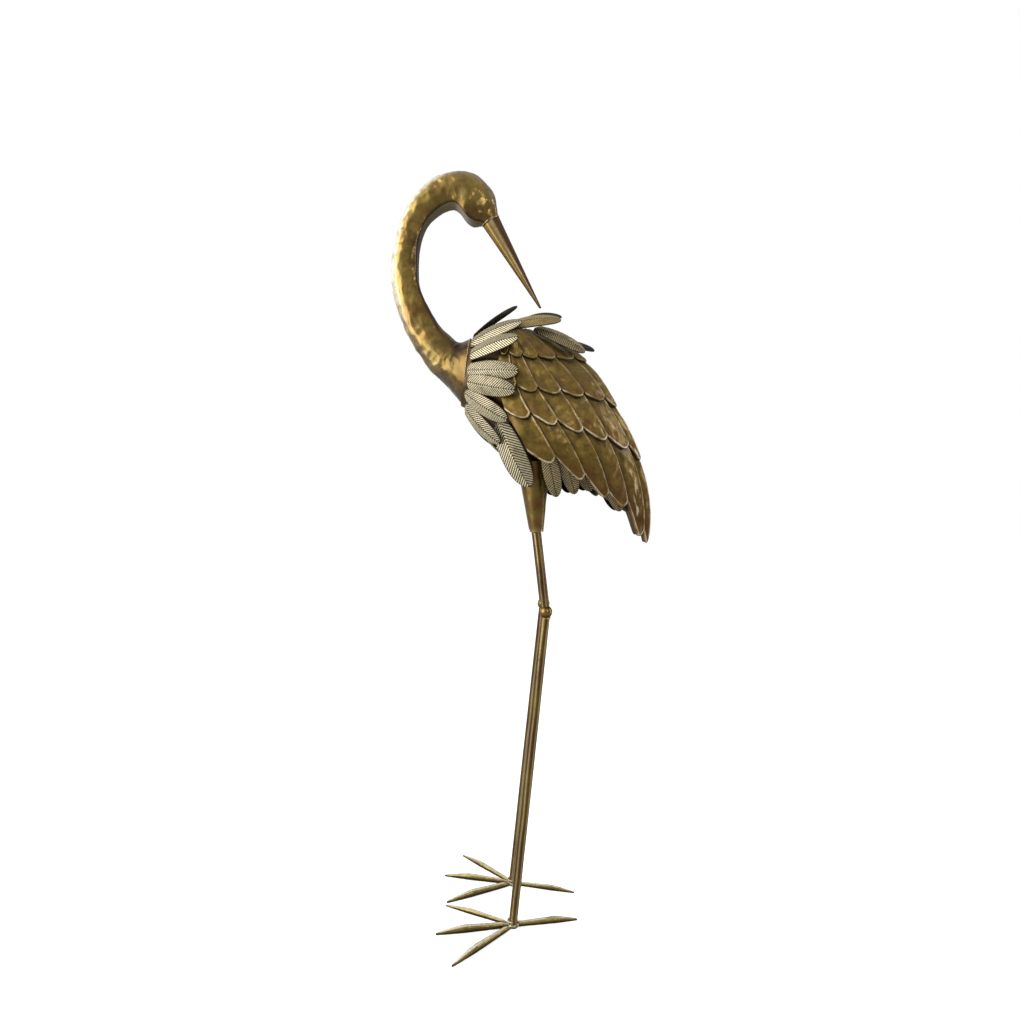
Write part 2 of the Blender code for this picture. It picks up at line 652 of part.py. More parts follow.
def grown_body(body, group):
    """A copy of the body swollen by the clearance, which cuts the thighs' tops."""
    cutter = body.copy()
    cutter.data = body.data.copy()
    cutter.name = "body_cutter"
    for vertex in cutter.data.vertices:
        vertex.co += vertex.normal * 2 * CLEARANCE
    cutter.hide_render = True
    cutter.display_type = "WIRE"
    group.objects.link(cutter)
    return cutter


def main():
    clear_scene()
    crane = new_collection("crane_garden_statue")
    cutters = new_collection("cutters")
    add_stance(crane)
    gold = paint("antique gold paint", (0.21, 0.15, 0.045), 0.42, 0.85)
    pale = paint("pale gold leaf paint", (0.52, 0.44, 0.27), 0.38, 0.8)
    dark = paint("dark bronze paint", (0.09, 0.065, 0.03), 0.5, 0.8)
    materials = {
        "rod": paint("glossy gold rod", (0.20, 0.13, 0.04), 0.25, 0.9),
        "thigh": paint("brown gold cone", (0.17, 0.10, 0.03), 0.4, 0.85),
        "toe": paint("forged gold toe", (0.30, 0.22, 0.08), 0.35, 0.85),
    }
    body = build_body(crane, dark)
    body_cutter = grown_body(body, cutters)
    build_neck(crane, gold)
    build_beak(crane, paint("beak gold", (0.25, 0.18, 0.06), 0.35, 0.85))
    build_collar(crane, pale)
    build_loose_leaves(crane, pale)
    for side, flip in (("left", 1), ("right", -1)):
        build_wing(side, flip, crane, gold)
        build_leg(side, flip, crane, body_cutter, materials)


main()
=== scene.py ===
"""The looks of a garden crane: beaten, pressed and forged iron under antique gold paint.

Metres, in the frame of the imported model: +Z up, the breast towards -X, the left side towards -Y.
"""

import math

import bpy
import numpy as np
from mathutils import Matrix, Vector, noise


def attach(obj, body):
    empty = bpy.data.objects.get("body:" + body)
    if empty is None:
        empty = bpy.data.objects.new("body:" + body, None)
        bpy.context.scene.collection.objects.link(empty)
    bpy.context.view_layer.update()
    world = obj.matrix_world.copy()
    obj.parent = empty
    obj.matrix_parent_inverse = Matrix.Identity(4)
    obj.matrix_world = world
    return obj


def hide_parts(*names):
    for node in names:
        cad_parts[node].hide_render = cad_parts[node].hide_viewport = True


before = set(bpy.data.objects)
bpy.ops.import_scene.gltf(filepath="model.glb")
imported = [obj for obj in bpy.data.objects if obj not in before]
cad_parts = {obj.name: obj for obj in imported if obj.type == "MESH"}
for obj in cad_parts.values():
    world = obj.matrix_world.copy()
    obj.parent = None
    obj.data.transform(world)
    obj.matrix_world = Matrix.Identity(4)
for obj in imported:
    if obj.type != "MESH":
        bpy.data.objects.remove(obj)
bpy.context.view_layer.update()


# Body. A closed egg of thin sheet iron, beaten in two halves and welded shut. It carries neck,
# wings, leaves and thighs, and only its dark bronze paint shows, in the gaps between them.

HEIGHT = 1.0
STANCE = np.array((-0.0085, 0.0, 0.0))
SEAM_CENTRE = (-0.0658, 0.7352)
SEAM_DEPTH = 0.0440
SEAM_WIDTH = 0.0385
SEAM_TILT = math.radians(6)
SEAM_ALONG = np.array((math.cos(SEAM_TILT), 0.0, -math.sin(SEAM_TILT)))
SEAM_UP = np.array((math.sin(SEAM_TILT), 0.0, math.cos(SEAM_TILT)))
# Along the body: x, z, half depth and half width.
BODY_STATIONS = (
    (*SEAM_CENTRE, SEAM_DEPTH, SEAM_WIDTH),
    (-0.0360, 0.7270, 0.0520, 0.0490),
    (0.0070, 0.7070, 0.0650, 0.0590),
    (0.0470, 0.6730, 0.0670, 0.0600),
    (0.0880, 0.6370, 0.0450, 0.0430),
    (0.1220, 0.5970, 0.0260, 0.0225),
    (0.1430, 0.5640, 0.0120, 0.0120),
    (0.1510, 0.5500, 0.0030, 0.0030),
)
BODY_RINGS = 60
BODY_SIDES = 64
WARM_TONE = "#6e4220"
WEAR_AND_HIGHLIGHT_SHINE = 0.35
LACQUER = 0.2
LACQUER_ROUGHNESS = 0.22
GLOSS_GAIN = 0.06
GLOSS_LOSS = 0.08
BARB_GROOVE_EDGE = 0.15
BARB_RIDGE_EDGE = 0.27


def linear(code):
    """Linear RGBA of an sRGB hex colour."""
    parts = [int(code[i : i + 2], 16) / 255 for i in (1, 3, 5)]
    return (*[c / 12.92 if c <= 0.04045 else ((c + 0.055) / 1.055) ** 2.4 for c in parts], 1.0)


def add_node(tree, kind, inputs=None, **settings):
    """Add a node with its settings, and give each named input a value or a link."""
    made = tree.nodes.new(kind)
    for name, value in settings.items():
        setattr(made, name, value)
    for name, value in (inputs or {}).items():
        if isinstance(value, bpy.types.NodeSocket):
            tree.links.new(value, made.inputs[name])
        else:
            made.inputs[name].default_value = value
    return made


def painted_iron(
    name, deep, body, light, wear_and_highlight, patch_mm, grain_mm, metallic, roughness, bump_mm, barbs=False
):
    """Antique paint on iron: metallic gold in clouds, dark and pale tones, and lacquer.

    The mesh says where: attribute "wear_and_highlight" is pale metal, bare from wear on high spots in
    some places and a painted highlight in others; "deep" is paint washed dark in some places and
    painted shade in others; and "warm" is the red-brown tone of thin paint. With barbs, the pale
    parts are stripes along "barb".
    The grain is drawn a little coarser than that of sprayed paint, which is too fine to show.
    """
    material = bpy.data.materials.new(name)
    material.use_nodes = True
    tree = material.node_tree
    shader = tree.nodes["Principled BSDF"]
    place = add_node(tree, "ShaderNodeTexCoord").outputs["Object"]
    clouds, grain = (
        add_node(
            tree,
            "ShaderNodeTexNoise",
            {"Vector": place, "Scale": 1000 / size_mm, "Detail": detail, "Roughness": rough},
        ).outputs["Fac"]
        for size_mm, detail, rough in ((patch_mm, 3.0, 0.6), (grain_mm, 4.0, 0.65))
    )
    warm, wash_and_shade, pale_mask = (
        add_node(tree, "ShaderNodeAttribute", attribute_name=label).outputs["Fac"]
        for label in ("warm", "deep", "wear_and_highlight")
    )
    spread = add_node(
        tree, "ShaderNodeMapRange", {"Value": clouds, "From Min": 0.34, "From Max": 0.64}
    ).outputs["Result"]
    speckle = add_node(
        tree,
        "ShaderNodeMapRange",
        {"Value": grain, "From Min": 0.3, "From Max": 0.65, "To Min": 0.45, "To Max": 1.0},
    ).outputs["Result"]
    warm_share = add_node(tree, "ShaderNodeMath", {0: warm, 1: speckle}, operation="MULTIPLY").outputs[0]
    height = grain
    if barbs:
        phase = add_node(tree, "ShaderNodeAttribute", attribute_name="barb").outputs["Fac"]
        wave = add_node(tree, "ShaderNodeMath", {0: phase, 1: 0.5}, operation="PINGPONG").outputs[0]
        ridge = add_node(
            tree,
            "ShaderNodeMapRange",
            {"Value": wave, "From Min": BARB_GROOVE_EDGE, "From Max": BARB_RIDGE_EDGE},
            interpolation_type="SMOOTHSTEP",
        ).outputs["Result"]
        pale_mask = add_node(tree, "ShaderNodeMath", {0: pale_mask, 1: ridge}, operation="MULTIPLY").outputs[0]
        height = add_node(tree, "ShaderNodeMath", {0: grain, 1: ridge}, operation="ADD").outputs[0]
    pale_share = add_node(
        tree, "ShaderNodeMath", {0: pale_mask, 1: speckle}, operation="MULTIPLY", use_clamp=True
    ).outputs[0]
    coat = linear(body)
    for share, tone in ((spread, light), (warm_share, WARM_TONE), (wash_and_shade, deep), (pale_share, wear_and_highlight)):
        coat = add_node(
            tree, "ShaderNodeMix", {0: share, 6: coat, 7: linear(tone)}, data_type="RGBA"
        ).outputs[2]
    glossy, dull = roughness - GLOSS_GAIN, roughness + GLOSS_LOSS
    gloss = add_node(
        tree,
        "ShaderNodeMapRange",
        {"Value": clouds, "From Min": 0.3, "From Max": 0.7, "To Min": glossy, "To Max": dull},
    ).outputs["Result"]
    shine = add_node(
        tree,
        "ShaderNodeMapRange",
        {"Value": pale_share, "To Min": metallic, "To Max": metallic * WEAR_AND_HIGHLIGHT_SHINE},
    ).outputs["Result"]
    relief = add_node(
        tree, "ShaderNodeBump", {"Height": height, "Distance": bump_mm / 1000, "Strength": 0.7}
    ).outputs["Normal"]
    tree.links.new(coat, shader.inputs["Base Color"])
    tree.links.new(gloss, shader.inputs["Roughness"])
    tree.links.new(relief, shader.inputs["Normal"])
    tree.links.new(shine, shader.inputs["Metallic"])
    shader.inputs["Coat Weight"].default_value = LACQUER
    shader.inputs["Coat Roughness"].default_value = LACQUER_ROUGHNESS
    return material


def full_turn(count):
    """Even angles around a full turn."""
    return np.linspace(0, 2 * math.pi, count, endpoint=False)


def smooth_rows(rows, count):
    """Read `count` rows evenly from a Catmull-Rom curve through the given rows."""
    rows = np.asarray(rows, float)
    padded = np.vstack([2 * rows[0] - rows[1], rows, 2 * rows[-1] - rows[-2]])
    places = np.linspace(0, len(rows) - 1, count)
    first = np.minimum(places.astype(int), len(rows) - 2)
    t = (places - first)[:, None]
    a, b, c, d = (padded[first + k] for k in range(4))
    return 0.5 * (2 * b + (c - a) * t + (2 * a - 5 * b + 4 * c - d) * t**2 + (3 * b - 3 * c + d - a) * t**3)


def closed_mesh(name, points, faces):
    """A smooth closed mesh with its faces turned outwards."""
    mesh = bpy.data.meshes.new(name)
    mesh.from_pydata(points.tolist(), [], faces)
    mesh.update()
    centre = Vector(points.mean(axis=0).tolist())
    if sum(face.area * face.normal.dot(face.center - centre) for face in mesh.polygons) < 0:
        mesh.flip_normals()
    mesh.shade_smooth()
    return mesh


def linked(name, data):
    """A new object of the given data, linked into the scene."""
    item = bpy.data.objects.new(name, data)
    bpy.context.scene.collection.objects.link(item)
    return item


def set_on_crane(name, mesh, tones, material, replaced):
    """Give a mesh its tones and paint, and let it ride on the crane in place of the named nodes."""
    for label, values in tones.items():
        layer = mesh.attributes.new(label, "FLOAT", "POINT")
        layer.data.foreach_set("value", np.ascontiguousarray(values, dtype=np.float32).reshape(-1))
    mesh.materials.append(material)
    piece = linked(name, mesh)
    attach(piece, "root")
    if replaced:
        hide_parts(*replaced)


def skin(name, rings, material, replaced, tones=None, sharp=50):
    """Skin closed rings of equal counts into a capped piece that rides on the crane.

    `rings` is an array of rings, points and coordinates; `tones` maps an attribute's name to its
    value at each of these points.
    """
    count, around = rings.shape[:2]
    index = np.arange(count * around).reshape(count, around)
    turned = np.roll(index, -1, axis=1)
    quads = np.stack([index[:-1], turned[:-1], turned[1:], index[1:]], axis=-1).reshape(-1, 4)
    faces = quads.tolist() + [index[0, ::-1].tolist(), index[-1].tolist()]
    mesh = closed_mesh(name, rings.reshape(-1, 3), faces)
    mesh.set_sharp_from_angle(angle=math.radians(sharp))
    tones = {"wear_and_highlight": 0.0, "deep": 0.0, "warm": 0.0, **(tones or {})}
    tones = {label: np.broadcast_to(values, (count, around)) for label, values in tones.items()}
    set_on_crane(name, mesh, tones, material, replaced)


def seam_ring(turns):
    """Places around the seam of neck and body, at the given turns."""
    ring = np.outer(np.cos(turns) * SEAM_DEPTH, SEAM_UP) + np.outer(np.sin(turns) * SEAM_WIDTH, (0, 1, 0))
    return (ring + (SEAM_CENTRE[0], 0, SEAM_CENTRE[1])) * HEIGHT


# Thinly sprayed dark bronze: dull, with a little of the gold in its clouds.
body_paint = painted_iron(
    "dark bronze paint on beaten sheet",
    deep="#1c150c", body="#4a391e", light="#66502a", wear_and_highlight="#a08a55",
    patch_mm=22, grain_mm=3.0, metallic=0.75, roughness=0.42, bump_mm=0.15,
)
body_rows = smooth_rows(BODY_STATIONS, BODY_RINGS) * HEIGHT
body_slopes = np.gradient(body_rows[:, :2], axis=0)
body_slopes /= np.linalg.norm(body_slopes, axis=1)[:, None]
body_turns = full_turn(BODY_SIDES)
body_rings = np.zeros((BODY_RINGS, BODY_SIDES, 3))
for ring, (x, z, depth, width), (dx, dz) in zip(body_rings, body_rows, body_slopes):
    ring[:] = np.outer(np.cos(body_turns) * depth, (-dz, 0, dx))
    ring += np.outer(np.sin(body_turns) * width, (0, 1, 0)) + (x, 0, z)
body_rings[0] = seam_ring(body_turns)
skin("body_shell", body_rings + STANCE, body_paint, ["body"])


# Neck and head. One tube of sheet iron, beaten over a stake, bent into the crane's arch and closed
# along its inner side with a flat strip. Antique gold paint, with a painted highlight down the
# outer curve and painted shade on the inner side.

# Up the neck: x and z of its outer line, x and z of its inner line, and half width.
NECK_STATIONS = (
    (-0.0925, 0.7166, -0.0745, 0.7752, 0.0300),
    (-0.1147, 0.7378, -0.0850, 0.7822, 0.0245),
    (-0.1428, 0.7801, -0.1038, 0.8013, 0.0195),
    (-0.1624, 0.8329, -0.1263, 0.8434, 0.0162),
    (-0.1661, 0.8710, -0.1301, 0.8710, 0.0157),
    (-0.1618, 0.9064, -0.1273, 0.9064, 0.0154),
    (-0.1482, 0.9481, -0.1170, 0.9320, 0.0157),
    (-0.1242, 0.9793, -0.1000, 0.9475, 0.0172),
    (-0.0980, 0.9950, -0.0845, 0.9540, 0.0196),
    (-0.0720, 0.9996, -0.0750, 0.9500, 0.0214),
    (-0.0480, 0.9918, -0.0640, 0.9362, 0.0212),
    (-0.0290, 0.9710, -0.0535, 0.9302, 0.0165),
    (-0.0231, 0.9416, -0.0442, 0.9291, 0.0092),
)
NECK_RINGS = 260
NECK_SIDES = 110
STRIP_EDGE = 0.62
STRIP_START = 0.04
STRIP_RUN = 0.22
STRIP_FADE = 0.10
STRIP_LEFT_AT_BEAK = 0.35
BLOW_SIZE = 0.0125
BLOW_DEPTH = 0.0009
DENT_SIZE = 0.015
DENT_DEPTH = 0.0017
PIMPLE_SIZE = 0.0055
PIMPLE_DEPTH = 0.0005
NECK_INSET = 0.0001
DISH_REACH = 0.62
CALM_RINGS = (8, 10)
CREASE_RUN = 0.06
CREASE_DEPTH = 0.0005
ARCH_START = 0.91
ARCH_RUN = 0.03
HIGHLIGHT_FADES_BELOW = 0.79
HIGHLIGHT_FADE_RUN = 0.07
DARKER_BASE = 0.16
HEAD_START = 0.66
HEAD_RUN = 0.08
PATINA_SIZE = 0.022
HIGHLIGHT_PATCH_SIZE = 0.009
WARM_PATCH_SIZE = 0.03


def clamp(values):
    """Values held between 0 and 1."""
    return np.clip(values, 0, 1)


def clouds_at(points, size, seed=0.0):
    """Smooth noise between -1 and 1 at each point, with clouds of the given size."""
    flat = points.reshape(-1, 3) / size + seed
    return np.array([noise.noise(p.tolist()) for p in flat]).reshape(points.shape[:-1])


def hammer_blows(points, size, seed):
    """Shallow dishes side by side: 0 on the ridges between them, -1 in their middles."""
    flat = points.reshape(-1, 3)
    shift = clouds_at(flat, size * 1.7, seed + 4.0)[:, None] * size * 0.5
    flat = (flat + shift) / size + seed
    near = np.array([noise.voronoi(p.tolist())[0][0] for p in flat])
    return (np.minimum(near / DISH_REACH, 1.0) ** 2 - 1).reshape(points.shape[:-1])


def build_neck():
    """The tube from the seam to the beak, with its strip's crease and its hammer marks."""
    low = SEAM_CENTRE - SEAM_UP[::2] * SEAM_DEPTH
    high = SEAM_CENTRE + SEAM_UP[::2] * SEAM_DEPTH
    rows = smooth_rows(((*low, *high, SEAM_WIDTH), *NECK_STATIONS), NECK_RINGS) * HEIGHT
    turns = full_turn(NECK_SIDES)
    shares = clamp(np.linspace(-1 / (len(NECK_STATIONS) - 1), 1, NECK_RINGS))
    outer = np.stack([rows[:, 0], 0 * shares, rows[:, 1]], axis=1)
    inner = np.stack([rows[:, 2], 0 * shares, rows[:, 3]], axis=1)
    half = (inner - outer) / 2
    rise = clamp((shares - STRIP_START) / STRIP_RUN)
    fall = np.minimum((1 - shares) / STRIP_FADE, 1)
    flat = rise * rise * (3 - 2 * rise) * (STRIP_LEFT_AT_BEAK + (1 - STRIP_LEFT_AT_BEAK) * fall)
    inward = np.cos(turns)
    pressed = np.where(inward > 0, np.minimum(inward / STRIP_EDGE, 1.0), inward)
    inward = inward + (pressed - inward) * flat[:, None]
    rings = (outer + inner)[:, None] / 2 + half[:, None] * inward[..., None]
    rings[..., 1] += rows[:, 4:] * np.sin(turns)
    axis = rings.mean(axis=1, keepdims=True)
    outwards = rings - axis
    outwards /= np.linalg.norm(outwards, axis=2, keepdims=True)
    order = np.arange(len(rings))
    beaten = clamp(order / CALM_RINGS[0]) * clamp((len(rings) - 2 - order) / CALM_RINGS[1])
    beaten = beaten[:, None]
    strip = clamp(np.cos(turns) / STRIP_EDGE) ** 8 * flat[:, None]
    arch = clamp((rings[..., 2] / HEIGHT - ARCH_START) / ARCH_RUN)
    blows = hammer_blows(rings, BLOW_SIZE, 2.0)
    dents = np.minimum(clouds_at(rings, DENT_SIZE, 5.0), 0) * DENT_DEPTH
    dents = dents + np.minimum(clouds_at(rings, PIMPLE_SIZE, 1.0), 0) * PIMPLE_DEPTH
    depth = (blows * BLOW_DEPTH + dents) * (1 - 0.8 * strip) * beaten
    from_strip = np.abs(np.mod(turns + math.pi, 2 * math.pi) - math.pi)
    from_crease = (from_strip - math.acos(STRIP_EDGE)) / CREASE_RUN
    crease = np.exp(-(from_crease**2)) * beaten * flat[:, None]
    depth = depth - crease * CREASE_DEPTH - NECK_INSET
    rings = rings + outwards * depth[..., None]
    # Painted light: a pale highlight runs down the upper outer curve, fading low on the neck and on the head,
    # and painted shade darkens the inner side, a little redder, and the strip, less so under the arch. The
    # neck is also darker along the crease and towards the seam, with dark and red-brown clouds.
    lit_outer_side = clamp((-np.cos(turns) - 0.45) / 0.35) * beaten
    upright = np.clip((rings[..., 2] / HEIGHT - HIGHLIGHT_FADES_BELOW) / HIGHLIGHT_FADE_RUN, 0.12, 1)
    shaded_inner_side = clamp(np.cos(turns) * 1.6 - 0.15)
    patina = clamp(clouds_at(rings, PATINA_SIZE, 9.0) * 1.3 + 0.1)
    base = clamp((DARKER_BASE - shares) / DARKER_BASE)[:, None] * (0.55 + 0.45 * patina)
    head = clamp((shares - HEAD_START) / HEAD_RUN)[:, None]
    wear_and_highlight = lit_outer_side * upright * (0.95 + clouds_at(rings, HIGHLIGHT_PATCH_SIZE, 3.0) * 0.7)
    wash_and_shade = crease * 0.9 + shaded_inner_side * (0.35 + 0.3 * patina) * (1 - strip) + patina * 0.3
    wash_and_shade = wash_and_shade + strip * (0.8 - 0.5 * arch) + base * 0.75
    warm = clouds_at(rings, WARM_PATCH_SIZE, 2.0) * 1.1 + shaded_inner_side * 0.35 * (1 - strip)
    tones = {
        "wear_and_highlight": clamp(wear_and_highlight) * (1 - strip) * (1 - 0.85 * head),
        "deep": np.clip(wash_and_shade, 0, 0.9),
        "warm": clamp(warm) * 0.8,
    }
    skin("neck_and_head_tube", rings + STANCE, neck_paint, ["neck_and_head"], tones)
    return rings + STANCE


# Sprayed gold over hammer blows: long soft lights, broken up by the dishes of the beating.
neck_paint = painted_iron(
    "antique gold paint on beaten sheet",
    deep="#35230f", body="#896d34", light="#a38a48", wear_and_highlight="#fffbe4",
    patch_mm=26, grain_mm=2.6, metallic=0.85, roughness=0.27, bump_mm=0.08,
)
neck_rings = build_neck()


# Eyes. A raised oval is punched from inside the head on both cheeks, with a round pupil on it that
# is painted bright as a highlight; the groove around it is painted darker. They are of the head's
# own sheet and under the same paint.

SIDES = (("left", 1), ("right", -1))
EYE_PLACE = (-0.0381, 0.9562)
EYE_HALF_LENGTH = 0.0040
EYE_HALF_HEIGHT = 0.0027
EYE_RISE = 0.0013
EYE_SIDES = 36
EYE_RINGS = 18
EYE_SINK = 0.0006
EYE_GROOVE_DEPTH = 0.0005
EYE_GROOVE_AT = 0.62
EYE_GROOVE_RUN = 0.10
PUPIL_SHARE = 0.45


def build_eye(side, flip):
    """A low dome with a ring-shaped groove around its pupil, set on the cheek."""
    cheek = neck_rings[neck_rings[..., 1] * flip < 0]
    aim = np.array(EYE_PLACE) * HEIGHT + (STANCE[0], 0)
    spot = cheek[np.argmin(np.hypot(cheek[:, 0] - aim[0], cheek[:, 2] - aim[1]))]
    turns = full_turn(EYE_SIDES)
    rings, high, low = [], [], []
    for reach in np.linspace(1, 0.02, EYE_RINGS):
        groove = math.exp(-(((reach - EYE_GROOVE_AT) / EYE_GROOVE_RUN) ** 2))
        dome = EYE_RISE * (1 - reach**2) ** 0.7 - EYE_SINK - EYE_GROOVE_DEPTH * groove
        ring = np.zeros((EYE_SIDES, 3))
        ring[:, 0] = np.cos(turns) * EYE_HALF_LENGTH * reach
        ring[:, 1] = -dome * flip
        ring[:, 2] = np.sin(turns) * EYE_HALF_HEIGHT * reach
        rings.append(ring + spot)
        high.append(max(0.0, 1 - reach / PUPIL_SHARE))
        low.append(groove)
    tones = {"wear_and_highlight": np.array(high)[:, None], "deep": np.array(low)[:, None] * 0.8}
    skin(f"eye_{side}", np.array(rings), neck_paint, [], tones)


for side, flip in SIDES:
    build_eye(side, flip)


# Beak. Folded from sheet into a long cone with a ridge down each side, filed blunt at the tip and
# welded into the head. Its gold is smoother than the neck's.

BEAK_LENGTH = 0.132
BEAK_BASE_DEPTH = 0.0256
BEAK_BASE_WIDTH = 0.0175
BEAK_TIP_RADIUS = 0.0015
BEAK_SLOPE = math.radians(59.8)
BEAK_CORNER = (0.55, 0.72)
BEAK_SET_IN = 0.0006
BEAK_RIDGE_RUN = 0.13
BEAK_BEAD = 0.0013
BEAK_BEADS = 9
BEAK_RINGS = 70
BEAK_SIDES = 48
ROPE_STEPS = 12
ROPE_SIDES = 14
ROPE_SWELL = 0.18
ROPE_ROUGHNESS = 0.45


def weld_rope(name, path, outward, bead, beads, material, shine=0.4):
    """A closed rope of overlapping weld drops laid along a ring of places."""
    places = np.linspace(0, 1, beads * ROPE_STEPS, endpoint=False) * len(path)
    low = places.astype(int)
    share = (places - low)[:, None]
    mid = path[low] * (1 - share) + path[(low + 1) % len(path)] * share
    out = outward[low] * (1 - share) + outward[(low + 1) % len(path)] * share
    out /= np.linalg.norm(out, axis=1)[:, None]
    run = np.roll(mid, -1, axis=0) - np.roll(mid, 1, axis=0)
    lift = np.cross(run, out)
    lift /= np.linalg.norm(lift, axis=1)[:, None]
    drop = np.abs(np.sin(np.arange(len(mid)) / ROPE_STEPS * math.pi))
    swell = bead * (1 - ROPE_SWELL + ROPE_SWELL * drop)
    tube = full_turn(ROPE_SIDES)
    points = mid[:, None] + out[:, None] * (swell[:, None] * np.cos(tube))[..., None]
    points = points + lift[:, None] * (swell[:, None] * np.sin(tube))[..., None]
    bumps = clouds_at(points, bead * 2.5, 3.0) * bead * ROPE_ROUGHNESS
    points = points + out[:, None] * bumps[..., None]
    index = np.arange(len(mid) * ROPE_SIDES).reshape(len(mid), ROPE_SIDES)
    ahead, up = np.roll(index, -1, axis=0), np.roll(index, -1, axis=1)
    quads = np.stack([index, up, np.roll(ahead, -1, axis=1), ahead], axis=-1).reshape(-1, 4)
    mesh = closed_mesh(name, points.reshape(-1, 3), quads.tolist())
    tones = {
        "deep": np.repeat((1 - drop) * 0.3, ROPE_SIDES),
        "wear_and_highlight": np.repeat(drop, ROPE_SIDES) * shine,
        "warm": np.zeros(index.size),
    }
    set_on_crane(name, mesh, tones, material, ())


def build_beak():
    """The cone's section has eight edges, softened as folded sheet is."""
    outer_x, outer_z, inner_x, inner_z, half_width = NECK_STATIONS[-1]
    ahead = np.array((math.cos(BEAK_SLOPE), 0, -math.sin(BEAK_SLOPE)))
    across = np.array((-ahead[2], 0, ahead[0]))
    base = np.array((outer_x + inner_x, 0, outer_z + inner_z)) / 2 * HEIGHT + ahead * BEAK_SET_IN
    deep, wide = BEAK_CORNER
    edges = np.array(
        ((1, 0), (deep, wide), (0, 1), (-deep, wide), (-1, 0), (-deep, -wide), (0, -1), (deep, -wide), (1, 0))
    )
    at = np.linspace(0, 8, BEAK_SIDES, endpoint=False)
    section = np.stack([np.interp(at, np.arange(9), edges[:, k]) for k in (0, 1)], axis=1)
    section = section * 0.7 + (np.roll(section, 1, axis=0) + np.roll(section, -1, axis=0)) * 0.15
    shares = np.linspace(0, 1, BEAK_RINGS)
    rings = []
    for share in shares:
        depth = across * (BEAK_BASE_DEPTH / 2 * (1 - share) + BEAK_TIP_RADIUS * share)
        width = np.array((0, BEAK_BASE_WIDTH / 2 * (1 - share) + BEAK_TIP_RADIUS * share, 0))
        middle = base + ahead * BEAK_LENGTH * share
        rings.append(middle + np.outer(section[:, 0], depth) + np.outer(section[:, 1], width))
    rings = np.array(rings)
    ridge = np.exp(-((section[:, 0] / BEAK_RIDGE_RUN) ** 2))
    tip = clamp((shares - 0.90) / 0.10)[:, None]
    upper = clamp(section[:, 0] * 3 - 0.1)
    tones = {
        "wear_and_highlight": ridge * 0.6 * (1 - tip),
        "deep": np.maximum(tip * 0.6, upper * 0.45),
        "warm": upper * 0.9,
    }
    skin("beak_cone", rings + STANCE, beak_paint, ["beak"], tones, 28)
    turns = full_turn(60)
    half = np.array((inner_x - outer_x, 0, inner_z - outer_z)) / 2 * HEIGHT
    outward = np.outer(np.cos(turns), half / np.linalg.norm(half)) + np.outer(np.sin(turns), (0, 1, 0))
    path = np.outer(np.cos(turns), half) + np.outer(np.sin(turns), (0, half_width * HEIGHT, 0))
    path = path + base + STANCE - outward * BEAK_BEAD * 0.4
    weld_rope("beak_weld", path, outward, BEAK_BEAD, BEAK_BEADS, beak_paint, 0.5)


# The smoothest gold, without grain: broad satin lights on the flat folded sides.
beak_paint = painted_iron(
    "satin gold paint on folded sheet",
    deep="#2a190b", body="#7f6434", light="#957a42", wear_and_highlight="#e6d4a8",
    patch_mm=30, grain_mm=14, metallic=0.85, roughness=0.25, bump_mm=0.0,
)
build_beak()


# Wings. Each is one pressed sheet of iron that wraps the crane's side, with four rows of long
# feathers embossed in it. Olive gold paint, browner to the feather tips, is rubbed off every rim.

WING_ORIGIN = (0.0178, 0.7756)
WING_SLOPE = math.radians(61)
WING_TOP = -0.012
WING_FRONT = -0.0758
WING_BACK = 0.0568
WING_EDGES = np.array((WING_FRONT, *(-0.0482 + 0.02376 * k for k in range(5)), WING_BACK))
WING_ROW_STEPS = ((0.01, 0.0104), (0.052, 0.016), (0.0925, 0.0231))
WING_LAST_ROW = (0.1281, 0.1541, 0.1901, 0.2261, 0.2501, 0.2970, 0.3100)
WING_ROW_ENDS = [[first + more * k for k in range(-1, 6)] for first, more in WING_ROW_STEPS]
WING_ROW_ENDS = np.array([*WING_ROW_ENDS, WING_LAST_ROW])
WING_TIP_PEAK = 0.7
WING_TIP_RISE = 0.005
WING_SHOULDER_BACK_RUN = 0.107
WING_SHOULDER_BACK = 0.041
WING_SHOULDER_BACK_POWER = 2.2
WING_SHOULDER_FRONT_RUN = 0.084
WING_SHOULDER_FRONT = 0.032
WING_SWEEP_START = 0.154
WING_SWEEP_RUN = 0.103
WING_SWEEP = 0.0165
WING_TAIL_SWEEP = 0.0008
WING_HALF_SPAN = 0.0725
WING_TAIL_SPAN = 0.0230
WING_TAPER_START = 0.13
WING_TAPER_RUN = 0.175
WING_SHOULDER_TUCK = 0.008
WING_FRONT_TUCK = 0.004
WING_WRAP = math.radians(81)
WING_SHEET = 0.0016
WING_STEP = 0.0022
WING_SIDE_STEP = 0.0014
WING_PILLOW = 0.0012
WING_EDGE_RUN = 0.0008
WING_RIM_WIDTH = 0.0015
WING_RIM_HEIGHT = 0.0007
WING_RIM_STRENGTHS = (0.35, 0.75, 1.0, 0.8)
WING_SIDE_RIM = 0.5
WING_LAST_SIDE_RIM = 0.8
WING_ROW_SAMPLES = (26, 52, 58, 112)
WING_COLUMN_SAMPLES = 31
WING_UNDER_SAMPLES = 24
WING_DENT_SIZE = 0.0095
WING_DENT_DEPTH = 0.0010
WING_DENT_FADE = 0.004
WING_STEEPEST = 2.5
TIP_CROWDING = 1.35
SIDE_CROWDING = 1.5
TAIL_START = 0.12
TAIL_RUN = 0.12
GLINT_SIZE = 0.0045
GLINT_STREAK_AT = 0.55
GLINT_STREAK_RUN = 0.16
COARSE_MOTTLE_SIZE = 0.009
FINE_MOTTLE_SIZE = 0.0035
WORN_PATCH_SIZE = 0.010
BROWN_PATCH_SIZE = 0.014


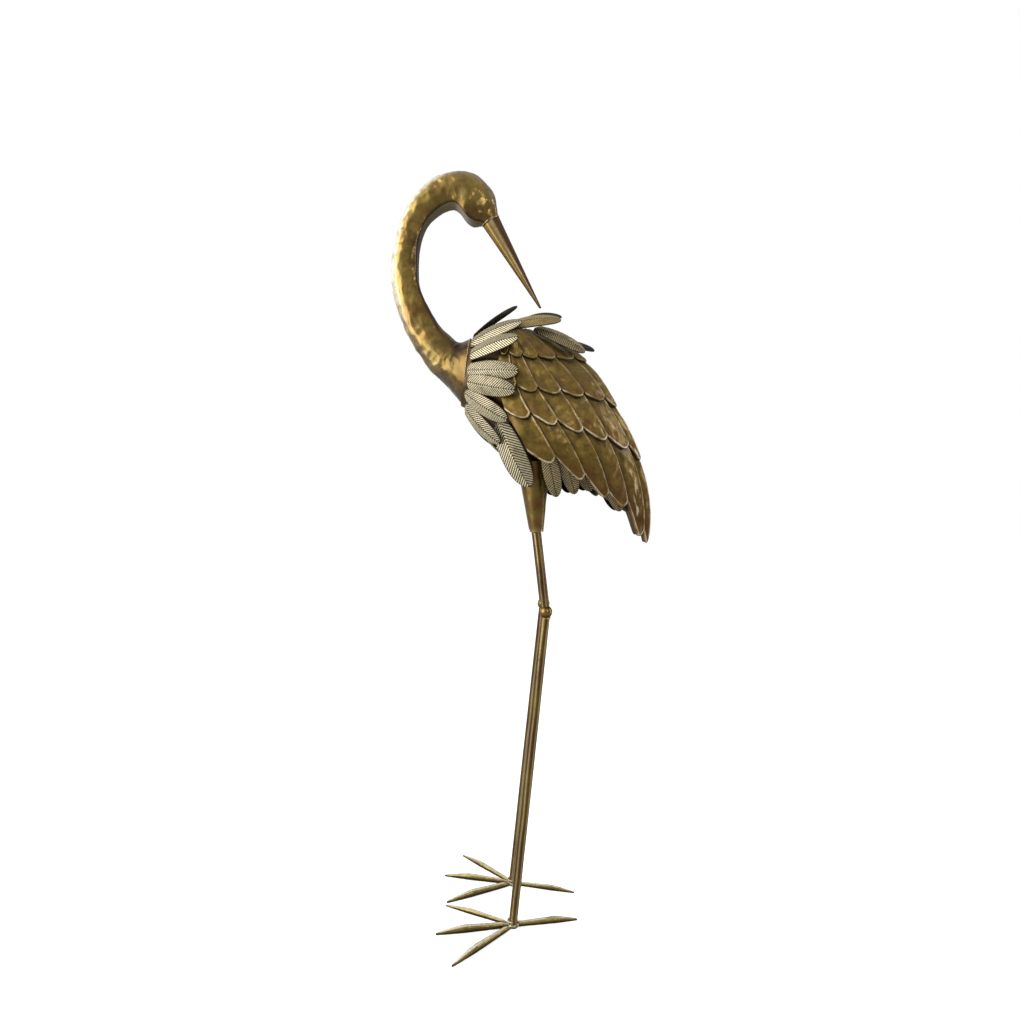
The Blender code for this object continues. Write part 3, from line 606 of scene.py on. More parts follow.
def column_at(v):
    """The feather column that holds each v, and how far across it v lies."""
    column = np.clip(np.searchsorted(WING_EDGES, v, side="right") - 1, 0, len(WING_EDGES) - 2)
    return column, (v - WING_EDGES[column]) / (WING_EDGES[column + 1] - WING_EDGES[column])


def row_end(row, v):
    """How far down the wing a row of feathers reaches at v, round at each feather's tip."""
    column, across = column_at(v)
    before, end = WING_ROW_ENDS[row][column], WING_ROW_ENDS[row][column + 1]
    rise = np.sin(math.pi / 2 * np.minimum(across / WING_TIP_PEAK, 1))
    fall = np.maximum(0, (across - WING_TIP_PEAK) / (1 - WING_TIP_PEAK))
    return before + (end - before) * rise - WING_TIP_RISE * fall**2


def wing_place(u, v):
    """Points of the flat wing drawing on the curved left wing."""
    shoulder = np.maximum(0, 1 - u / WING_SHOULDER_BACK_RUN)
    sweep = np.maximum(0, u - WING_SWEEP_START) / WING_SWEEP_RUN
    back = WING_BACK - WING_SHOULDER_BACK * shoulder**WING_SHOULDER_BACK_POWER
    front = WING_FRONT + WING_SHOULDER_FRONT * np.maximum(0, 1 - u / WING_SHOULDER_FRONT_RUN) ** 2
    across = (v - WING_FRONT) / (WING_BACK - WING_FRONT)
    v = front + across * (back - front) - WING_SWEEP * sweep**2 - WING_TAIL_SWEEP * sweep**6
    x = WING_ORIGIN[0] + u * math.cos(WING_SLOPE) + v * math.sin(WING_SLOPE)
    z = WING_ORIGIN[1] - u * math.sin(WING_SLOPE) + v * math.cos(WING_SLOPE)
    ease = clamp((u - WING_TAPER_START) / WING_TAPER_RUN)
    span = WING_HALF_SPAN + (WING_TAIL_SPAN - WING_HALF_SPAN) * ease * ease * (3 - 2 * ease)
    span = span - WING_SHOULDER_TUCK * np.minimum(shoulder * 2, 1)
    span = span - WING_FRONT_TUCK * np.maximum(0, 1 - across * 4) * np.minimum(shoulder * 3, 1)
    wrap = WING_WRAP * np.maximum(0, across) ** 1.5
    return np.stack([x, -span * np.cos(wrap), z], axis=-1) * HEIGHT


def wing_out(u, v):
    """Unit vectors square to the wing's surface, away from the body."""
    step = 0.001
    down = wing_place(u + step, v) - wing_place(u - step, v)
    across = wing_place(u, v + step) - wing_place(u, v - step)
    out = np.cross(down, across)
    return out / np.linalg.norm(out, axis=-1, keepdims=True)


def wing_grid():
    """For the whole wing: u, v, share across, share down, distances to tip and side, and row."""
    cuts = 1 - (1 - np.linspace(0, 1, WING_COLUMN_SAMPLES)) ** SIDE_CROWDING
    starts = WING_EDGES[:-1] + WING_EDGE_RUN
    v = (starts[:, None] + (np.diff(WING_EDGES) - WING_EDGE_RUN)[:, None] * cuts).reshape(-1)
    across = np.tile(cuts, len(WING_EDGES) - 1)
    widths = np.repeat(np.diff(WING_EDGES), WING_COLUMN_SAMPLES)
    look = v - WING_EDGE_RUN / 2
    above = np.full(v.shape, WING_TOP)
    stretches = []
    for row, samples in enumerate(WING_ROW_SAMPLES):
        end = row_end(row, look)
        slope = (row_end(row, look + 0.0004) - row_end(row, look - 0.0004)) / 0.0008
        slope = np.clip(slope, -WING_STEEPEST, WING_STEEPEST)
        down = 1 - (1 - np.linspace(0, 1, samples)) ** TIP_CROWDING
        u = (above + WING_EDGE_RUN)[:, None] + (end - above - WING_EDGE_RUN)[:, None] * down
        to_tip = (end[:, None] - u) / np.sqrt(1 + slope**2)[:, None]
        to_side = ((1 - across) * widths)[:, None] + 0 * u
        stretches.append((u, down[None, :] + 0 * u, to_tip, to_side, 0 * u + row))
        above = end
    u, down, to_tip, to_side, row = (np.concatenate([s[k] for s in stretches], axis=1) for k in range(5))
    return u, v[:, None] + 0 * u, across[:, None] + 0 * u, down, to_tip, to_side, row


def build_wing(side, flip):
    """The sheet's embossed face and its plain inner face, from one grid."""
    u, v, across, down, to_tip, beside, row = wing_grid()
    to_rim = np.minimum(to_tip, beside)
    place, out = wing_place(u, v), wing_out(u, v)
    rim = np.exp(-((to_rim / WING_RIM_WIDTH - 0.75) ** 2) * 2.2)
    last = v > WING_EDGES[4]
    side_rim = np.where(last, WING_LAST_SIDE_RIM, WING_SIDE_RIM)
    strength = np.array(WING_RIM_STRENGTHS)[row.astype(int)] * np.where(beside < to_tip, side_rim, 1)
    relief = WING_STEP * down + WING_SIDE_STEP * across * np.minimum(down * 3, 1)
    relief = relief + WING_PILLOW * 4 * across * (1 - across)
    dents = clouds_at(place, WING_DENT_SIZE, 3.0 * flip) * clamp(to_rim / WING_DENT_FADE)
    relief = relief + WING_RIM_HEIGHT * rim + WING_DENT_DEPTH * (dents - 0.4)
    outer = place + out * (WING_SHEET + relief * HEIGHT)[..., None]
    under = np.linspace(u.shape[1] - 1, 0, WING_UNDER_SAMPLES).round().astype(int)
    inner = place[:, under]
    rings = np.concatenate([outer, inner], axis=1) * (1, flip, 1)
    pale_mask = np.clip(clouds_at(place, WORN_PATCH_SIZE, 6.0) * 2.2 + 0.62, 0.12, 1)
    # Painted shade: darker at the top of each feather, under the row above, and along the side that lies
    # under the next column's rim.
    crevice_shade = np.exp(-np.maximum(0, down) * 12) + np.exp(-across * 9) * 0.6
    mottle = clamp(clouds_at(place, COARSE_MOTTLE_SIZE, 4.0)) * 0.4
    mottle = mottle + clamp(clouds_at(place, FINE_MOTTLE_SIZE, 2.0)) * 0.5
    tail = clamp((u - TAIL_START) / TAIL_RUN)
    # Painted highlights: short cream glints streaked down the last column's feathers towards the tail.
    streak = np.exp(-(((across - GLINT_STREAK_AT) / GLINT_STREAK_RUN) ** 2)) * clamp((down - 0.15) * 4)
    drawn_out = np.stack([u * 0.28, v * 1.5, 0 * u], axis=-1)
    glint = clamp(clouds_at(drawn_out, GLINT_SIZE, 8.0) * 6 - 0.9) * last * tail * streak
    brown = (down - 0.45) * 0.9 + tail * 0.4 + clouds_at(place, BROWN_PATCH_SIZE, 1.0) * 0.8
    lit = {
        "wear_and_highlight": clamp(rim * pale_mask * 0.95 * strength + glint),
        "deep": clamp(crevice_shade * 0.8 + mottle) * (1 - rim),
        "warm": clamp(brown) * (1 - rim),
    }
    # The inner face is painted dark, as painted shade.
    dark = np.zeros(inner.shape[:2])
    shaded_inner_face = {"wear_and_highlight": dark, "deep": dark + 0.8, "warm": dark}
    tones = {label: np.concatenate([values, shaded_inner_face[label]], axis=1) for label, values in lit.items()}
    skin(f"wing_sheet_{side}", rings + STANCE, wing_paint, [f"wing_{side}"], tones, 40)


# Duller gold with a fine grain: the pressed feathers glow softly between their pale rims.
wing_paint = painted_iron(
    "antique gold paint on pressed sheet",
    deep="#33230d", body="#786227", light="#8c722b", wear_and_highlight="#fbe6c4",
    patch_mm=18, grain_mm=2.0, metallic=0.75, roughness=0.38, bump_mm=0.25,
)
for side, flip in SIDES:
    build_wing(side, flip)


# Leaves. Cut from sheet, folded along the rib and stamped with slanting barbs, then welded by a
# narrow tab. Dark paint is left in the grooves, and pale champagne gold is brushed over the barbs.

LEAF_LENGTH = 0.074
LEAF_WIDTH = 0.0250
LEAF_FOLD = 0.0026
LEAF_TAB_WIDTH = 0.0070
LEAF_TAB_END = 0.09
LEAF_BOW = 0.05
LEAF_ROOT_SHARE = 0.60
LEAF_WIDEST = 0.5
LEAF_ROUNDING = 2.4
LEAF_TIP_SHARE = 0.12
BREAST_LEAF_WIDTH = 0.035
BELLY_LEAF_WIDTH = 0.022
SHEET = 0.0011
COLLAR_LAYER = 0.0044
COLLAR_STAND_OFF = 0.0032
COLLAR_SET_BACK = 0.0028
BARB_SPACING = 0.0033
BREAST_BARB_SPACING = 0.0040
BARB_SLANT = math.radians(50)
BARB_DEPTH = 0.0004
RIB_WIDTH = 0.0006
LEAF_ROWS = 190
LEAF_COLUMNS = 27
LEAF_TIP_CROWDING = 1.12
BARBS_START = 0.05
BARBS_END = 0.015
LEAF_MARGIN = 0.06
BRUSHED_PATCH_SIZE = 0.011
LEAF_WARM_PATCH_SIZE = 0.016


def leaf_outline(share):
    """Half width of a leaf, as a share of its greatest, from root 0 to tip 1."""
    rise = LEAF_ROOT_SHARE + (1 - LEAF_ROOT_SHARE) * np.sin(math.pi / 2 * np.minimum(share / LEAF_WIDEST, 1))
    past = np.maximum(0, (share - LEAF_WIDEST) / (1 - LEAF_WIDEST))
    fall = np.sqrt(np.maximum(0, 1 - past**LEAF_ROUNDING))
    return rise * np.maximum(fall, LEAF_TIP_SHARE)


def build_leaf(node, root, tip, face, width, bow, tab, material, shade=1, spacing=BARB_SPACING):
    """A stamped leaf with its ridge towards `face`, which stands for the node of that name.

    `shade` is 1 or -1: the half of the leaf whose barbs are painted paler, as painted light on that side of
    the fold.
    """
    root, tip, face = (np.array(point, float) for point in (root, tip, face))
    chord = tip - root
    length = np.linalg.norm(chord)
    ahead = chord / length
    across = np.cross(face, ahead)
    across /= np.linalg.norm(across)
    out = np.cross(ahead, across)
    share = (1 - (1 - np.linspace(0, 1, LEAF_ROWS)) ** LEAF_TIP_CROWDING)[:, None]
    from_rib = np.linspace(-1, 1, LEAF_COLUMNS)[None, :]
    outline = leaf_outline(share)
    half = width / 2 * outline
    tab_share = clamp(1 - share / LEAF_TAB_END)
    half = half + (LEAF_TAB_WIDTH / 2 - half) * tab_share
    beside = np.abs(from_rib) * half
    phase = (share * length - beside / math.tan(BARB_SLANT)) / spacing
    wave = np.abs(np.mod(phase + 0.5, 1) - 0.5)
    barb = clamp((wave - BARB_GROOVE_EDGE) / (BARB_RIDGE_EDGE - BARB_GROOVE_EDGE))
    rib = np.exp(-((beside / RIB_WIDTH) ** 2))
    stamped = clamp(share / BARBS_START) * clamp((1 - share) / BARBS_END)
    stamped = stamped * (1 - rib) * clamp((1 - np.abs(from_rib)) / LEAF_MARGIN)
    height = LEAF_FOLD * outline * (1 - np.abs(from_rib) ** 1.25) + BARB_DEPTH * barb * stamped
    height = height + bow * length * 4 * share * (1 - share) - tab * tab_share
    middle = root + chord * share[..., None]
    top = middle + across * (from_rib * half)[..., None] + out * height[..., None]
    ends = [LEAF_COLUMNS - 1, LEAF_COLUMNS * 3 // 4, LEAF_COLUMNS // 2, LEAF_COLUMNS // 4, 0]
    rings = np.concatenate([top, top[:, ends] - out * SHEET], axis=1)
    under = np.zeros((LEAF_ROWS, len(ends)))
    # Painted light: one half's barbs are paler and the other's darker, as light falls across the fold, and
    # the underside is painted dark as shade.
    half_light = clamp(0.82 + 0.18 * np.sign(from_rib) * shade)
    brushed = np.clip(clouds_at(top, BRUSHED_PATCH_SIZE, 5.0) * 0.9 + 1.2, 0.5, 1)
    warm = clamp(clouds_at(top, LEAF_WARM_PATCH_SIZE, 5.0) * 0.5 + 0.1)
    tones = {
        "wear_and_highlight": np.concatenate([stamped * half_light * brushed, under], axis=1),
        "deep": np.concatenate([0.35 * (1 - stamped), under + 0.5], axis=1),
        "warm": np.concatenate([warm, under], axis=1),
        "barb": np.concatenate([phase, under], axis=1),
    }
    skin(f"{node}_leaf", rings + STANCE, material, [node], tones, 60)


# Nearly black grooves and champagne barbs: each leaf shows rows of pale slanting strokes.
pale_leaf_paint = painted_iron(
    "champagne paint brushed over stamped leaves",
    deep="#1a1208", body="#2c210c", light="#3a2c12", wear_and_highlight="#fff3c6",
    patch_mm=15, grain_mm=1.6, metallic=0.60, roughness=0.34, bump_mm=0.20, barbs=True,
)
# The same with a duller gold brushed on: olive leaves with fainter strokes.
dark_leaf_paint = painted_iron(
    "olive gold paint on stamped leaves",
    deep="#241b0e", body="#332813", light="#463819", wear_and_highlight="#d0bf8c",
    patch_mm=15, grain_mm=1.6, metallic=0.65, roughness=0.36, bump_mm=0.20, barbs=True,
)
# The same over a warmer gold, so that the strokes stand out less.
gold_leaf_paint = painted_iron(
    "gold paint on stamped leaves",
    deep="#241b0e", body="#4b3a14", light="#6a5320", wear_and_highlight="#dcc684",
    patch_mm=15, grain_mm=1.6, metallic=0.7, roughness=0.34, bump_mm=0.20, barbs=True,
)


# Seam. Neck and body are welded together all around, in a row of small drops of iron under the same
# gold paint. The collar's leaves are rooted just behind it.

SEAM_BEAD = 0.0014
SEAM_BEADS = 36

seam_turns = full_turn(180)
seam_out = np.outer(np.cos(seam_turns), SEAM_UP) + np.outer(np.sin(seam_turns), (0, 1, 0))
seam_path = seam_ring(seam_turns) + STANCE + SEAM_ALONG * SEAM_BEAD
weld_rope("seam_weld", seam_path, seam_out, SEAM_BEAD, SEAM_BEADS, neck_paint, 0.1)


# Collar. Six pairs of leaves stand around the neck's seam in two layers, spread like a ruff, and
# one more lies under the throat. Each is welded on by its tab.

# Per pair: place around the seam, facing, slope left and right and spread, in degrees, and tab drop.
COLLAR_LEAVES = (
    (48, 48, 21, 33, 14, 0.0017),
    (75, 60, 16, 17, 26, 0.0054),
    (94, 94, -5, -4, 27, 0.0002),
    (109.5, 107, -14, -15, 28, 0.0043),
    (129.5, 119, -34.5, -34.5, 25, 0.0),
    (152, 134, -47, -47, 20.5, 0.0031),
)
THROAT_SLOPE = math.radians(-52)
THROAT_STAND_OFF = 0.0038
THROAT_BOW = 0.01
SEAM_PLACE = np.array((SEAM_CENTRE[0], 0, SEAM_CENTRE[1])) * HEIGHT + SEAM_ALONG * COLLAR_SET_BACK

for index, (angle, facing, left_slope, right_slope, spread, tab) in enumerate(COLLAR_LEAVES):
    turn, facing, spread = math.radians(angle), math.radians(facing), math.radians(spread)
    lift = COLLAR_STAND_OFF + COLLAR_LAYER * (index % 2)
    for side, flip, slope in (("left", -1, left_slope), ("right", 1, right_slope)):
        slope = math.radians(slope)
        aside = np.array((0, flip, 0))
        out = SEAM_UP * math.cos(facing) + aside * math.sin(facing)
        root = SEAM_PLACE + SEAM_UP * math.cos(turn) * (SEAM_DEPTH * HEIGHT + lift)
        root = root + aside * math.sin(turn) * (SEAM_WIDTH * HEIGHT + lift)
        lie = np.array((math.cos(slope), 0, math.sin(slope))) * math.cos(spread) + aside * math.sin(spread)
        node = f"collar_feather_{index + 1}_{side}"
        tip = root + lie * LEAF_LENGTH
        build_leaf(node, root, tip, out, LEAF_WIDTH, LEAF_BOW, tab, pale_leaf_paint, flip)
throat_root = SEAM_PLACE - SEAM_UP * (SEAM_DEPTH * HEIGHT + THROAT_STAND_OFF)
throat_tip = throat_root + np.array((math.cos(THROAT_SLOPE), 0, math.sin(THROAT_SLOPE))) * LEAF_LENGTH
node = "collar_feather_throat"
build_leaf(node, throat_root, throat_tip, -SEAM_UP, LEAF_WIDTH, THROAT_BOW, 0.0, dark_leaf_paint)


# Back, breast and belly. The same leaves lie back over the wings, each bent its own way, and two
# coarser ones hang below the collar. Smaller ones hang from inside the wings' lower edges.

# Name, roll in degrees, bow, tab drop, tip and root.
BACK_LEAVES = (
    ("crest_feather", 5, 0.03, 0.0040, (0.0020, 0.0160, 0.8275), (-0.0610, 0.0120, 0.7815)),
    ("back_feather_1_left", -45, 0.05, 0.0006, (0.0580, -0.0330, 0.7980), (-0.0130, -0.0330, 0.7884)),
    ("back_feather_1_right", 12, 0.15, 0.0030, (0.0640, 0.0340, 0.8180), (-0.0150, 0.0395, 0.7885)),
    ("back_feather_2_left", -45, 0.04, 0.0015, (0.0900, -0.0270, 0.7580), (0.0240, -0.0290, 0.7880)),
    ("back_feather_2_right", 8, 0.06, 0.0030, (0.1090, 0.0270, 0.7700), (0.0440, 0.0280, 0.7808)),
)
# Tip and root of the left leaves, which are mirrored for the right ones.
BREAST_PAIR = ((0.0180, -0.0410, 0.5830), (-0.0225, -0.0412, 0.6680))
BELLY_PAIRS = (
    ((0.0520, -0.0500, 0.5700), (0.0370, -0.0697, 0.6350)),
    ((0.0760, -0.0440, 0.5735), (0.0560, -0.0677, 0.6370)),
    ((0.0970, -0.0340, 0.5770), (0.0710, -0.0622, 0.6360)),
    ((0.1390, -0.0155, 0.5500), (0.1168, -0.0315, 0.6110)),
)
BREAST_FACE = (-0.35, -0.90, -0.25)
BELLY_FACE = (0, -1, -0.2)
BELLY_BOW = 0.02

for node, roll, bow, tab, tip, root in BACK_LEAVES:
    face = (0, math.sin(math.radians(roll)), math.cos(math.radians(roll)))
    paint = gold_leaf_paint if node.startswith("back_feather_1") else dark_leaf_paint
    build_leaf(node, root, tip, face, LEAF_WIDTH, bow, tab, paint)
for side, flip in SIDES:
    tip, root, face = (np.array(point) * (1, flip, 1) for point in (*BREAST_PAIR, BREAST_FACE))
    build_leaf(
        f"breast_feather_{side}", root, tip, face, BREAST_LEAF_WIDTH, LEAF_BOW, 0.0,
        pale_leaf_paint, -flip, BREAST_BARB_SPACING,
    )
    for index, pair in enumerate(BELLY_PAIRS):
        tip, root, face = (np.array(point) * (1, flip, 1) for point in (*pair, BELLY_FACE))
        build_leaf(
            f"belly_feather_{index + 1}_{side}", root, tip, face, BELLY_LEAF_WIDTH, BELLY_BOW, 0.0,
            dark_leaf_paint,
        )


# Thighs. Each is a cone rolled from sheet, welded under the belly and closed around the leg's rod.
# Brown gold paint, rubbed a little at the lower end.

HIP = (0.0237, -0.0226, 0.6150)
THIGH_FOOT = (0.0276, -0.0252, 0.5235)
THIGH_TOP_RADIUS = 0.0216
THIGH_FOOT_RADIUS = 0.0088
THIGH_MARK_SIZE = 0.012
THIGH_MARK_DEPTH = 0.035
THIGH_RIM_START = 0.93
ROUND_SIDES = 48


def round_rings(centres, radii, upright=False):
    """Round rings square to the run of their centres, or level ones."""
    centres, radii = np.asarray(centres, float), np.asarray(radii, float)
    run = np.gradient(centres, axis=0)
    run /= np.linalg.norm(run, axis=1)[:, None]
    turns = full_turn(ROUND_SIDES)
    rings = np.zeros((len(centres), ROUND_SIDES, 3))
    for ring, centre, radius, ahead in zip(rings, centres, radii, run):
        side = np.array((1.0, 0, 0)) if upright else np.cross((0, 1, 0), ahead)
        side = side / np.linalg.norm(side)
        lift = np.array((0, 1.0, 0)) if upright else np.cross(ahead, side)
        ring[:] = centre + radius * (np.outer(np.cos(turns), side) + np.outer(np.sin(turns), lift))
    return rings


# Satin brown gold: soft patches of light down the cone.
thigh_paint = painted_iron(
    "brown gold paint on rolled sheet",
    deep="#2c1a0a", body="#76602c", light="#887038", wear_and_highlight="#bfa870",
    patch_mm=20, grain_mm=2.6, metallic=0.84, roughness=0.32, bump_mm=0.05,
)
for side, flip in SIDES:
    hip, foot = (np.array(point) * (1, flip, 1) * HEIGHT for point in (HIP, THIGH_FOOT))
    shares = np.linspace(0, 1, 60)
    centres = hip + (foot - hip) * shares[:, None]
    radii = THIGH_TOP_RADIUS * HEIGHT + (THIGH_FOOT_RADIUS - THIGH_TOP_RADIUS) * HEIGHT * shares
    rings = round_rings(centres, radii)
    marks = clouds_at(rings, THIGH_MARK_SIZE, 7.0)
    outwards = rings - rings.mean(axis=1, keepdims=True)
    rings = rings + outwards * (np.minimum(marks, 0) * THIGH_MARK_DEPTH)[..., None]
    tones = {
        "wear_and_highlight": clamp(shares - THIGH_RIM_START)[:, None] * 8,
        "warm": clamp(marks + 0.3),
    }
    skin(f"thigh_cone_{side}", rings + STANCE, thigh_paint, [f"thigh_{side}"], tones)


# Legs. Round bar, welded to a ball at the knee. Glossy brown gold paint, with painted reflections
# running down the bar: dark, redder streaks between narrow bright lines.

KNEE = (0.0397, -0.0298, 0.4180)
ANKLES = {"left": (-0.0030, -0.0430), "right": (-0.0028, 0.0480)}
UPPER_ROD_RADIUS = 0.0057
LOWER_ROD_RADIUS = 0.0060
ANKLE_RADIUS = 0.0056
KNEE_RADIUS = 0.0086
ROD_SET_BACK = 0.0010
ROD_SET_IN = 0.8
ROD_TAPER_START = 0.55
WELD_RADIUS = 0.0066
WELD_HEIGHT = 0.007
HUB_SHARE = 0.86
WELD_NECK_HEIGHT = 0.0126

# The glossiest coat, with painted reflections: narrow bright lines between dark streaks down each rod.
rod_paint = painted_iron(
    "glossy brown gold paint on round bar",
    deep="#2f1a08", body="#937734", light="#a88a42", wear_and_highlight="#fff2cc",
    patch_mm=18, grain_mm=2.8, metallic=0.84, roughness=0.18, bump_mm=0.02,
)


def along(points, radii, count):
    """Spread `count` centres and radii evenly along a run of given ones."""
    points, radii = np.asarray(points, float), np.asarray(radii, float)
    reach = np.concatenate([[0], np.cumsum(np.linalg.norm(np.diff(points, axis=0), axis=1))])
    at = np.linspace(0, reach[-1], count)
    centres = np.stack([np.interp(at, reach, points[:, k]) for k in range(3)], axis=1)
    return centres, np.interp(at, reach, radii)


def reflection_streaks(rings, start):
    """Six streaks of painted reflection around the bar: dark, redder ones between narrow bright lines."""
    turns = full_turn(ROUND_SIDES) + math.radians(start)
    streak = 0.5 - 0.5 * np.cos(6 * turns + clouds_at(rings, 0.06, 2.0) * 0.9)
    warm = clamp(clouds_at(rings, 0.025, 8.0) * 0.9 + 0.3)
    return {
        "deep": streak * 0.62,
        "warm": clamp(warm + streak * 0.3),
        "wear_and_highlight": clamp(0.35 - streak),
    }


for side, flip in SIDES:
    foot, knee = (np.array(point) * (1, flip, 1) * HEIGHT for point in (THIGH_FOOT, KNEE))
    run = (knee - foot) / np.linalg.norm(knee - foot)
    ends = (foot + run * ROD_SET_BACK, knee - run * KNEE_RADIUS * ROD_SET_IN)
    rings = round_rings(*along(ends, (UPPER_ROD_RADIUS,) * 2, 50))
    tones = reflection_streaks(rings, 50)
    skin(f"upper_rod_{side}", rings + STANCE, rod_paint, [f"upper_leg_{side}"], tones)

    tilt = np.linspace(0, math.pi, 40)
    ball = knee + np.outer(np.cos(tilt) * KNEE_RADIUS, (0, 0, -1))
    rings = round_rings(ball, np.maximum(np.sin(tilt), 0.02) * KNEE_RADIUS, True)
    # Painted shade on the ball's lower part and in a ring around the upper rod's joint.
    band = np.exp(-((np.abs(tilt - 2.5) / 0.3) ** 2))[:, None]
    low = clamp((1.35 - tilt) / 0.5)[:, None]
    tones = {"deep": clamp(band + low + 0.2) * 0.8, "warm": 0 * low + 0.4}
    skin(f"knee_ball_{side}", rings + STANCE, rod_paint, [f"knee_{side}"], tones)

    ankle = np.array((ANKLES[side][0], ANKLES[side][1], 0)) * HEIGHT
    neck = ankle + (0, 0, WELD_NECK_HEIGHT)
    start = knee + (neck - knee) / np.linalg.norm(neck - knee) * KNEE_RADIUS * ROD_SET_IN
    spans = (
        (start, LOWER_ROD_RADIUS),
        (start + (neck - start) * ROD_TAPER_START, LOWER_ROD_RADIUS),
        (neck, ANKLE_RADIUS),
        (ankle + (0, 0, WELD_HEIGHT), WELD_RADIUS * HUB_SHARE),
        (ankle, WELD_RADIUS * HUB_SHARE),
    )
    lower = along([point for point, _ in spans], [radius for _, radius in spans], 150)
    rings = round_rings(*lower, True)
    tones = reflection_streaks(rings, 110)
    skin(f"lower_rod_{side}", rings + STANCE, rod_paint, [f"lower_leg_{side}"], tones)


# Feet. Toes are drawn out of round bar under the hammer, thickest at the knuckle, and welded to
# the leg. Gold paint, with a painted highlight along the top edge and painted shade underneath,
# nearly black where the points touch the ground.

FRONT_TOE_ROOT_RADIUS = 0.0019
HIND_TOE_ROOT_RADIUS = 0.0036
TOE_PROFILE = (
    (0.0, FRONT_TOE_ROOT_RADIUS),
    (0.09, 0.0034),
    (0.35, 0.0039),
    (0.60, 0.0045),
    (0.74, 0.0036),
    (0.90, 0.0023),
    (1.0, 0.0011),
)
# Left and right: degrees from straight ahead, length and thickness.
TOES = (
    ("outer", (44.3, 0.105, 1.0), (42.8, 0.1075, 0.80)),
    ("middle", (9.4, 0.1025, 1.06), (11.3, 0.104, 0.95)),
    ("inner", (-24.1, 0.1025, 0.75), (-24.6, 0.1025, 1.05)),
    ("hind", (-171.6, 0.0865, 0.96), (-166.9, 0.0895, 0.80)),
)
TOE_RINGS = 100
TOE_SIDES = 28
TOE_FLAT = math.cos(math.pi / 8)
TOE_SQUARENESS = 0.06
TOE_MARK_SIZE = 0.009
TOE_MARK_DEPTH = 0.12

# Gold over hammer marks: a painted highlight along the top edge, broken into short glints.
toe_paint = painted_iron(
    "gold paint on forged bar",
    deep="#1c130a", body="#8e783a", light="#a48f4c", wear_and_highlight="#fffbe0",
    patch_mm=16, grain_mm=2.2, metallic=0.82, roughness=0.26, bump_mm=0.06,
)


def build_toe(node, ankle, angle, length, thickness, root):
    """A forged toe lying on the ground, four flats with soft corners, its top edge painted bright as a
    highlight.
    """
    ahead = np.array((math.cos(angle), math.sin(angle), 0))
    across = np.array((-ahead[1], ahead[0], 0))
    share = np.linspace(0, 1, TOE_RINGS)
    at, radii = np.array(TOE_PROFILE).T
    radii[0] = root
    radius = np.interp(share, at, radii)
    for _ in range(5):
        radius[1:-1] = radius[1:-1] * 0.5 + (radius[:-2] + radius[2:]) * 0.25
    radius *= thickness
    turns = full_turn(TOE_SIDES)
    square = 1 - TOE_SQUARENESS * np.cos(4 * turns)
    centres = np.array((*ankle, 0)) + ahead * (WELD_RADIUS + (length - WELD_RADIUS) * share)[:, None]
    centres[:, 2] = radius * TOE_FLAT
    rings = centres[:, None] + across * (radius[:, None] * np.cos(turns) * square)[..., None]
    marks = clouds_at(rings, TOE_MARK_SIZE, 11.0)
    round_top = np.maximum(np.sin(turns) * square, -TOE_FLAT)
    shrink = 1 + np.minimum(marks, 0) * TOE_MARK_DEPTH
    rings[..., :2] = centres[:, None, :2] + (rings[..., :2] - centres[:, None, :2]) * shrink[..., None]
    risen = np.where(round_top > 0, round_top * shrink, round_top)
    rings[..., 2] = centres[:, None, 2] + radius[:, None] * risen
    # Painted highlight along the top edge, broken by the hammer marks, and painted shade underneath; the
    # points are nearly black.
    tip = clamp((share - 0.92) / 0.08)[:, None]
    low = clamp((0.42 - np.sin(turns)) * 2.2)
    tones = {
        "wear_and_highlight": clamp((np.sin(turns) - 0.8) * 8) * clamp(marks + 1.1) * (1 - tip),
        "deep": np.clip(tip * 0.8 + low * 0.85, 0, 0.92),
        "warm": clamp(marks * 0.7),
    }
    skin(f"{node}_bar", rings + STANCE, toe_paint, [node], tones)


for side, flip in SIDES:
    ankle = np.array(ANKLES[side]) * HEIGHT
    for toe, left, right in TOES:
        degrees, length, thickness = left if side == "left" else right
        root = HIND_TOE_ROOT_RADIUS if toe == "hind" else FRONT_TOE_ROOT_RADIUS
        angle = math.pi + math.radians(degrees) * flip
        build_toe(f"toe_{toe}_{side}", ankle, angle, length, thickness, root)


# Welds. Two rings of drops around each ankle over the toes' roots, left as they set under a thin
# coat of paint, and a finer ring in the rod's own paint under each knee.

WELD_BEAD_RADIUS = 0.0023
LOW_RING_HEIGHT = WELD_BEAD_RADIUS * 1.5
HIGH_RING_HEIGHT = WELD_BEAD_RADIUS * 3.4
KNEE_BEAD_RADIUS = 0.0013

